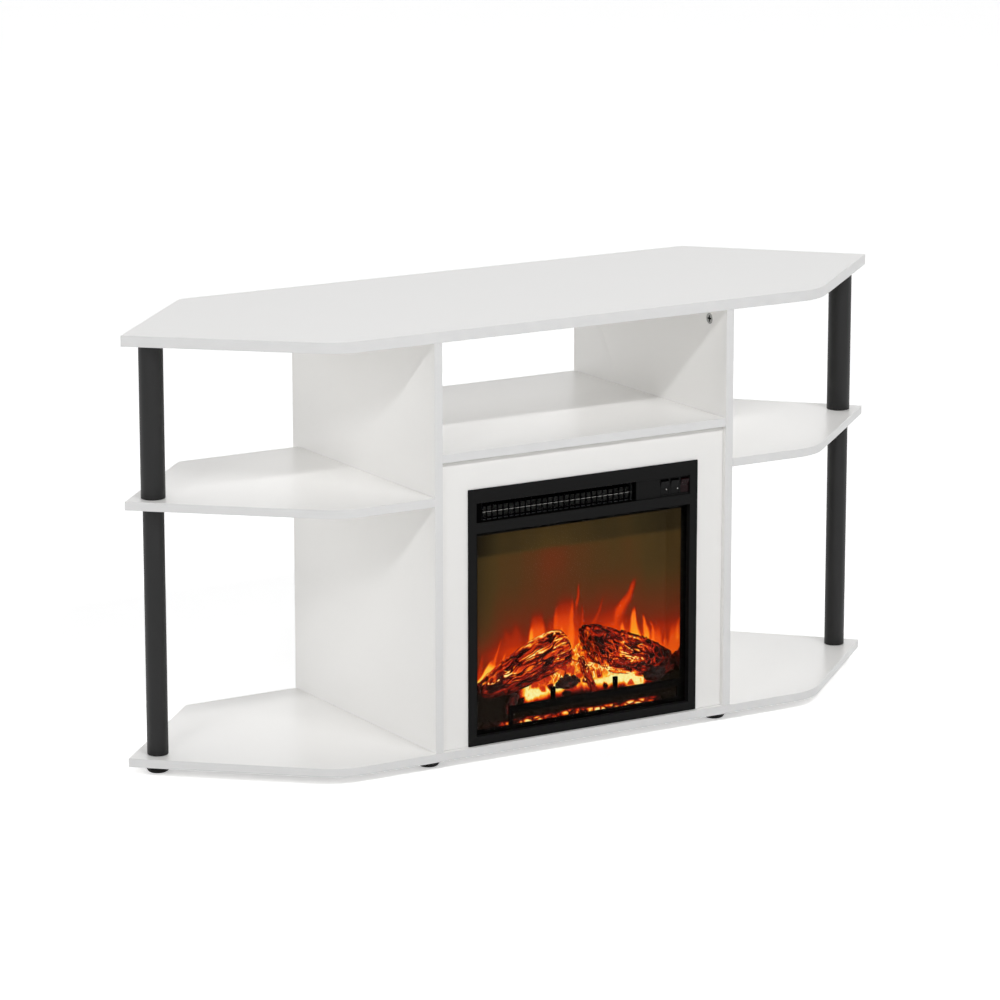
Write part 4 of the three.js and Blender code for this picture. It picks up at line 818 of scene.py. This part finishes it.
def bark(skin, light, scaly, seed):
    """Lift in millimetres, heat and mood of the bark, at points (along, deep, tall) of its skin.

    The bark is long cells, or plates, bent by noise: it rises on a plate and falls into the
    crack between two of them. A plate glows in streaks along the log and at its rim. Where the
    bark is scaly the cells are short, and it glows in their cracks. The mood is a slow noise."""
    warp = np.stack([rough_noise(skin / 13, seed + k, 2) for k in (50, 60, 70)], axis=1) - 0.5
    bent = skin + warp * [14, 6.5, 6.5]
    plate, next_plate, number = cell_noise(bent / PLATE, seed)
    scale, next_scale, scale_number = cell_noise((skin + warp * SCALE) / SCALE, seed + 3)
    plate_gap, scale_gap = next_plate - plate, next_scale - scale
    gap = plate_gap + (scale_gap - plate_gap) * scaly
    fibre = rough_noise(bent / FIBRE, seed + 30, 2)
    mood = rough_noise(skin / MOOD, seed + 40, 3)
    spark = rough_noise(skin / SPARK, seed + 45, 2)
    crack = ease(0.16, 0.05, gap)
    lift = 1.7 * ease(0, 0.4, gap) + 3.4 * (mood - 0.5) + 1.1 * (fibre - 0.5) - 1.5 * crack
    body = ease(0.3, 0.8, 0.5 * number + 0.5 * mood)
    streaks = 0.5 + 0.8 * ease(0.42, 0.6, fibre)
    rim = ease(0.06, 0.13, gap) * ease(0.3, 0.17, gap) * ease(0.36, 0.56, spark)
    plate_glow = (0.26 + 0.19 * body) * streaks + (0.28 + 0.31 * ease(0.48, 0.66, mood)) * rim
    scale_glow = 0.5 * ease(0.02, 0.07, gap) * ease(0.26, 0.1, gap) * ease(0.2, 0.6, mood)
    scale_glow += 0.2 * scale_number * ease(0.1, 0.3, gap) * streaks + 0.24 * rim
    heat = light * (plate_glow * (1 - scaly) * (1 - 0.75 * crack) + scale_glow * scaly)
    return lift, heat, mood


def log_surface(name, log, seed, look, long_steps=340, round_steps=210, coarse=1.0):
    """A burning log. At share u of the run and angle v the point is
    middle(u) + r * (deep(u) cos v, tall(u) sin v) square to the run, and r follows the bark.
    look(u, s) gives, for the share u and the height s from -1 to 1, the light and the part of the
    bark that has broken into dark scales. Each end is closed by rings that shrink to its middle,
    on a slanting cut where one is given."""
    cap, aside, thinnest = 26, 0.002, 3
    share = np.concatenate([np.zeros(cap), np.linspace(0, 1, long_steps), np.ones(cap)])
    shrink = np.linspace(0, 1, cap + 1)[:-1]
    reach = np.concatenate([shrink, np.ones(long_steps), shrink[::-1]])
    angle = np.linspace(0, 2 * np.pi, round_steps, endpoint=False)
    u, v = (part.ravel() for part in np.meshgrid(share, angle, indexing="ij"))
    grow = np.repeat(reach, round_steps)
    x, z, tall, deep = log_run(log, u)
    ahead = log_run(log, np.clip(u + aside, 0, 1))
    behind = log_run(log, np.clip(u - aside, 0, 1))
    run = np.stack([ahead[0] - behind[0], ahead[1] - behind[1]], axis=1)
    run /= np.linalg.norm(run, axis=1)[:, None]
    side, top = np.cos(v) * grow, np.sin(v) * grow
    skin = np.stack([u * math.dist(*log["ends"]), deep * side, tall * top], axis=1) / coarse
    lift, heat, mood = bark(skin, *look(u, top), seed)
    size = 1 + lift * coarse / np.maximum(np.minimum(tall, deep), thinnest)
    ends = np.repeat(np.concatenate([-np.ones(cap), np.zeros(long_steps), np.ones(cap)]), round_steps)
    cut_side, cut_top = log.get("cut", (0, 0))
    cut = ease(0.3, 0, u) * (cut_side * deep * side + cut_top * tall * top)
    bulge = ends * (1 - grow**2) * (log.get("dome", 3) + 4 * (mood - 0.5)) * coarse + cut
    off_deep, off_tall = deep * side * size, tall * top * size
    points = in_insert(
        x - off_tall * run[:, 1] + bulge * run[:, 0],
        log["depth"] + off_deep,
        z + off_tall * run[:, 0] + bulge * run[:, 1],
    )
    faces = grid_faces(len(share), round_steps, wrap_columns=True)
    return closed_mesh(name, points, faces, glow=np.clip(heat, 0, 1))


def left_look(u, s):
    """Light on the upper flank and strongest at the right end; dark underneath and at the tip."""
    along = (1.12 + 0.2 * ease(0.45, 0.95, u)) * ease(-0.05, 0.14, u)
    return along * (0.5 + 0.65 * ease(-0.75, 0.1, s)), np.zeros_like(u)


def right_look(u, s):
    """Dark scales at the cut end and over the right half, with the fire breaking out between
    them, along a seam below the middle and along the underside."""
    burst = ease(0.2, 0.36, u) * ease(0.66, 0.48, u) * ease(-0.3, 0.1, s) * ease(1.05, 0.7, s)
    seam = np.exp(-(((s + 0.22) / 0.1) ** 2)) * ease(0.06, 0.16, u) * ease(0.52, 0.4, u)
    under = np.exp(-(((s + 0.78) / 0.1) ** 2)) * ease(0.02, 0.1, u) * ease(0.62, 0.5, u)
    light = (1.08 - 0.73 * ease(0.5, 1, u)) + 0.55 * burst + 1.1 * seam + 0.9 * under
    below = ease(-0.28, -0.4, s) * ease(0.7, 0.55, u)
    return light, np.clip(1 - burst - seam - under - 0.8 * below, 0, 1)


def even_look(level, scaly):
    """The same light and the same part of scales all round."""
    return lambda u, s: (np.full_like(u, level), np.full_like(u, scaly))


LOGS = (("left_log", LEFT_LOG, 5, left_look), ("right_log", RIGHT_LOG, 25, right_look))
for name, log, seed, look in LOGS:
    mesh = log_surface(f"{name}_bark", log, seed, look)
    place(f"{name}_bark", mesh, [log_bark], replaced=[name], sharp_degrees=180)


def bed_height(x, depth):
    """Coals that rise from front to back and, under each log, climb from the front edge to a
    saddle that carries it. The surface is cells as domes on that slope."""
    coal_pitch, front_height, back_rise = 12.0, 27, 14
    spots = np.stack([x, depth, np.zeros_like(x)], axis=1)
    near, after, number = cell_noise(spots / coal_pitch, 77)
    dome = 5.0 * ease(0.0, 0.75, after - near) * (0.5 + number) - 2.5
    share = (depth - BED_FRONT) / (BED_BACK - BED_FRONT)
    height = front_height + back_rise * np.sqrt(np.clip(share, 0, 1)) + dome
    for log in (LEFT_LOG, RIGHT_LOG):
        (left, _), (right, _) = log["ends"]
        _, middle, tall, deep = log_run(log, np.clip((x - left) / (right - left), 0, 1))
        across = np.clip(np.abs(depth - log["depth"]) / deep, 0, 1)
        under = middle - tall * 0.9 * np.sqrt(1 - across**2) - 1
        beside = np.clip(np.maximum(left - x, x - right), 0, None)
        climb = ease(BED_FRONT + 1, BED_FRONT + 13, depth) * ease(40, 4, beside)
        heap = height + (under - height) * climb + 0.7 * dome * (1 - np.abs(2 * climb - 1))
        heaped = np.maximum(height, heap)
        height = np.where(beside > 0, heaped, np.minimum(heaped, under))
    return height


def coal_light(skin):
    """Heat and roundness of the coals, at points (across, depth, up) of the bed's skin.

    Behind the front edge light stands in a low window that a few coals darken, and in the heap
    above it each coal glows by its number and at its rim. Across the front runs a strip of light
    that wanders up and down and breaks up between the coals."""
    x, depth, up = skin.T
    near, after, number = cell_noise(skin / [14.0, 12.0, 10.0], 81)
    gap = after - near
    coal = ease(0.04, 0.3, gap)
    mood = rough_noise(skin / [16, 12, 9], 91, 3)
    fibre = rough_noise(skin / [6, 6, 4], 97, 2)
    lit = ease(-94, -74, x) * (1 - ease(118, 134, x))
    inner = ease(22, 25, depth)
    window = 1.02 + 0.12 * ease(0.35, 0.6, mood)
    window -= ease(0.06, 0.3, gap) * ((0.42 + 0.3 * mood) * (number < 0.42) + 0.5 * (number < 0.16))
    petal = 0.42 + 0.34 * number + 0.36 * ease(0.34, 0.12, gap) * ease(0.4, 0.55, mood)
    petal = (petal + 0.3 * (fibre - 0.5)) * (0.3 + 0.7 * ease(0.0, 0.07, gap))
    heap = ease(53, 68, up)
    glow = lit * inner * (window * (1 - heap) + petal * heap)
    level = 18.5 + 5 * (rough_noise(skin / [30, 90, 90], 93, 2) - 0.5)
    strip = ease(6.5, 1.5, np.abs(up - level)) * ease(-172, -80, x) * (1 - ease(110, 140, x))
    strip *= (1 - inner) * (0.25 + 0.95 * ease(0.38, 0.56, mood)) * (0.25 + 0.75 * coal)
    return np.clip(np.maximum(glow, 0.85 * strip), 0, 1), coal


def ember_bed():
    """A closed body: for each place across, a loop of points up the front, over the coals and
    down the back to the flat underside. The front is set back a little and bulges at a coal."""
    columns, top_rows, front_rows = 500, 124, 34
    half, bottom = CHAMBER_HALF - 0.4, CHAMBER_FLOOR + 0.1
    x = np.linspace(-half, half, columns)
    depth = BED_FRONT + (BED_BACK - BED_FRONT) * np.linspace(0, 1, top_rows) ** 1.8
    grid_x, grid_depth = (part.ravel() for part in np.meshgrid(x, depth, indexing="ij"))
    top = bed_height(grid_x, grid_depth).reshape(columns, top_rows)
    rise = np.linspace(0, 1, front_rows + 1)[:-1]
    front = bottom + (top[:, :1] - bottom) * rise
    loop_z = np.concatenate([front, top, np.full((columns, 1), bottom)], axis=1)
    loop_depth = np.concatenate([np.full(front_rows, BED_FRONT), depth, [BED_BACK]])
    loops = loop_z.shape[1]
    skin_x, skin_depth = np.repeat(x, loops), np.tile(loop_depth, columns)
    skin_z = loop_z.ravel()
    heat, coal = coal_light(np.stack([skin_x, skin_depth, skin_z], axis=1))
    bulge = 2.2 * (coal - 0.3) * ease(2, 8, skin_z)
    on_front = np.tile(np.arange(loops) < front_rows, columns)
    points = in_insert(skin_x, skin_depth + np.where(on_front, 1.4 - bulge, 0), skin_z)
    faces = grid_faces(columns, loops, wrap_columns=True)
    caps = [np.arange(loops)[::-1].tolist(), (np.arange(loops) + (columns - 1) * loops).tolist()]
    mesh = closed_mesh("ember_coals", points, faces, caps, merge=False, glow=heat)
    place(
        "ember_coals", mesh, [coals], replaced=["ember_bed"],
        sharp_degrees=60,
    )


ember_bed()

CHARRED = (
    ("ember_twig", TWIG, 35, even_look(1.0, 0.0), 0.45, log_bark),
    ("charred_lump", LUMP, 45, even_look(0.3, 1.0), 0.6, charred),
    ("left_char", LEFT_CHAR, 55, even_look(0.4, 1.0), 0.6, charred),
    ("right_char", RIGHT_CHAR, 65, even_look(0.25, 1.0), 0.6, charred),
)
for name, log, seed, look, coarse, material in CHARRED:
    mesh = log_surface(name, log, seed, look, long_steps=110, round_steps=90, coarse=coarse)
    place(name, mesh, [material], sharp_degrees=180)


# Floor, light and camera


def seen_directly(tree):
    """1 where the camera, a gloss or a pane sees the surface, 0 where it only sends out light."""
    path = add(tree, "ShaderNodeLightPath")
    seen = path["Is Camera Ray"]
    for ray in ("Is Glossy Ray", "Is Transmission Ray"):
        seen = add(tree, "ShaderNodeMath", {0: seen, 1: path[ray]}, operation="MAXIMUM")[0]
    return seen


def studio_floor():
    """A pale floor that lights the object from below. Where the camera, a gloss or a pane sees
    it, it glows as well, so that it fades into the white background and only the deeper part of
    the object's shadow shows."""
    glow_level, half = 0.46, 60.0
    pale, white = linear("#f5f4f1"), linear("#ffffff")
    material, tree, shader = principled("studio_floor", Roughness=0.9, Emission_Color=white)
    seen = seen_directly(tree)
    tone = add(tree, "ShaderNodeMix", {"Factor": seen, 6: pale, 7: white}, data_type="RGBA")[2]
    lift = add(tree, "ShaderNodeMath", {0: seen, 1: glow_level}, operation="MULTIPLY")[0]
    tree.links.new(tone, shader.inputs["Base Color"])
    tree.links.new(lift, shader.inputs["Emission Strength"])
    corners = [(-half, -half, 0), (half, -half, 0), (half, half, 0), (-half, half, 0)]
    mesh = bpy.data.meshes.new("floor")
    mesh.from_pydata(corners, [], [(0, 1, 2, 3)])
    mesh.materials.append(material)
    floor = bpy.data.objects.new("floor", mesh)
    into_scene(floor)


studio_floor()


def strip_lamp(name, across, watts):
    """A level strip lamp in front of the object and above it, a trace cool: its shadows are soft
    sideways and crisp up and down."""
    lamp = bpy.data.lights.new(name, "AREA")
    lamp.shape = "RECTANGLE"
    lamp.size, lamp.size_y = 4.0, 0.35
    lamp.energy = watts
    lamp.color = (0.985, 0.99, 1.0)
    strip = bpy.data.objects.new(name, lamp)
    strip.location = (across, -5.4, 5.35)
    back_and_down = Vector((0, 1.08, -1))
    strip.rotation_euler = back_and_down.to_track_quat("-Z", "Y").to_euler()
    into_scene(strip)


def white_room():
    """Light from a white room: its walls are brightest behind the object and dim in front and
    higher up, its ceiling is dark, and it is a little brighter on the right. What the camera, a
    gloss or a pane sees is plain white."""
    world = bpy.data.worlds.new("white_room")
    bpy.context.scene.world = world
    world.use_nodes = True
    tree = world.node_tree
    way = add(tree, "ShaderNodeTexCoord")["Generated"]
    across, back, up = add(tree, "ShaderNodeSeparateXYZ", {0: way})
    share = add(tree, "ShaderNodeMapRange", {"Value": back, "From Min": -1.0})[0]
    wall_stops = [(0.0, "#494949"), (0.5, "#b0b0b0"), (1.0, "#ffffff")]
    upper_stops = [(0.0, "#494949"), (0.5, "#606060"), (1.0, "#dfdfdf")]
    walls = add(tree, "ShaderNodeValToRGB", {"Fac": share}, wall_stops)[0]
    upper = add(tree, "ShaderNodeValToRGB", {"Fac": share}, upper_stops)[0]
    height = add(tree, "ShaderNodeMapRange", {"Value": up, "From Min": 0.1, "From Max": 0.4})[0]
    top = add(tree, "ShaderNodeMapRange", {"Value": up, "From Min": 0.5, "From Max": 0.8})[0]
    ceiling, white = linear("#242424"), linear("#ffffff")
    room = add(tree, "ShaderNodeMix", {"Factor": height, 6: walls, 7: upper}, data_type="RGBA")[2]
    room = add(tree, "ShaderNodeMix", {"Factor": top, 6: room, 7: ceiling}, data_type="RGBA")[2]
    lean = add(tree, "ShaderNodeMapRange", {
        "Value": across, "From Min": -1.0, "To Min": 2.25, "To Max": 3.6
    })[0]
    seen = seen_directly(tree)
    colour = add(tree, "ShaderNodeMix", {"Factor": seen, 6: room, 7: white}, data_type="RGBA")[2]
    level = add(tree, "ShaderNodeMapRange", {"Value": seen, "To Min": lean, "To Max": 1.0})[0]
    tree.links.new(colour, tree.nodes["Background"].inputs["Color"])
    tree.links.new(level, tree.nodes["Background"].inputs["Strength"])


def photo_camera():
    """The camera as solved from the photograph's straight edges: a long lens, left of the middle
    and 13 degrees above it, turned 31 degrees to the right."""
    lens = bpy.data.cameras.new("camera")
    lens.lens = 159.8
    lens.sensor_width = 36
    lens.shift_x = -0.0046
    lens.clip_end = 200
    camera = bpy.data.objects.new("camera", lens)
    camera.location = (-3.1397, -5.1381, 1.6982)
    camera.rotation_euler = (math.radians(90 - 13.01), 0, math.radians(-31.34))
    into_scene(camera)
    bpy.context.scene.camera = camera


white_room()
strip_lamp("key", 0.0, watts=234)
strip_lamp("side", -7.5, watts=212)
photo_camera()
bpy.context.scene.view_settings.view_transform = "Standard"
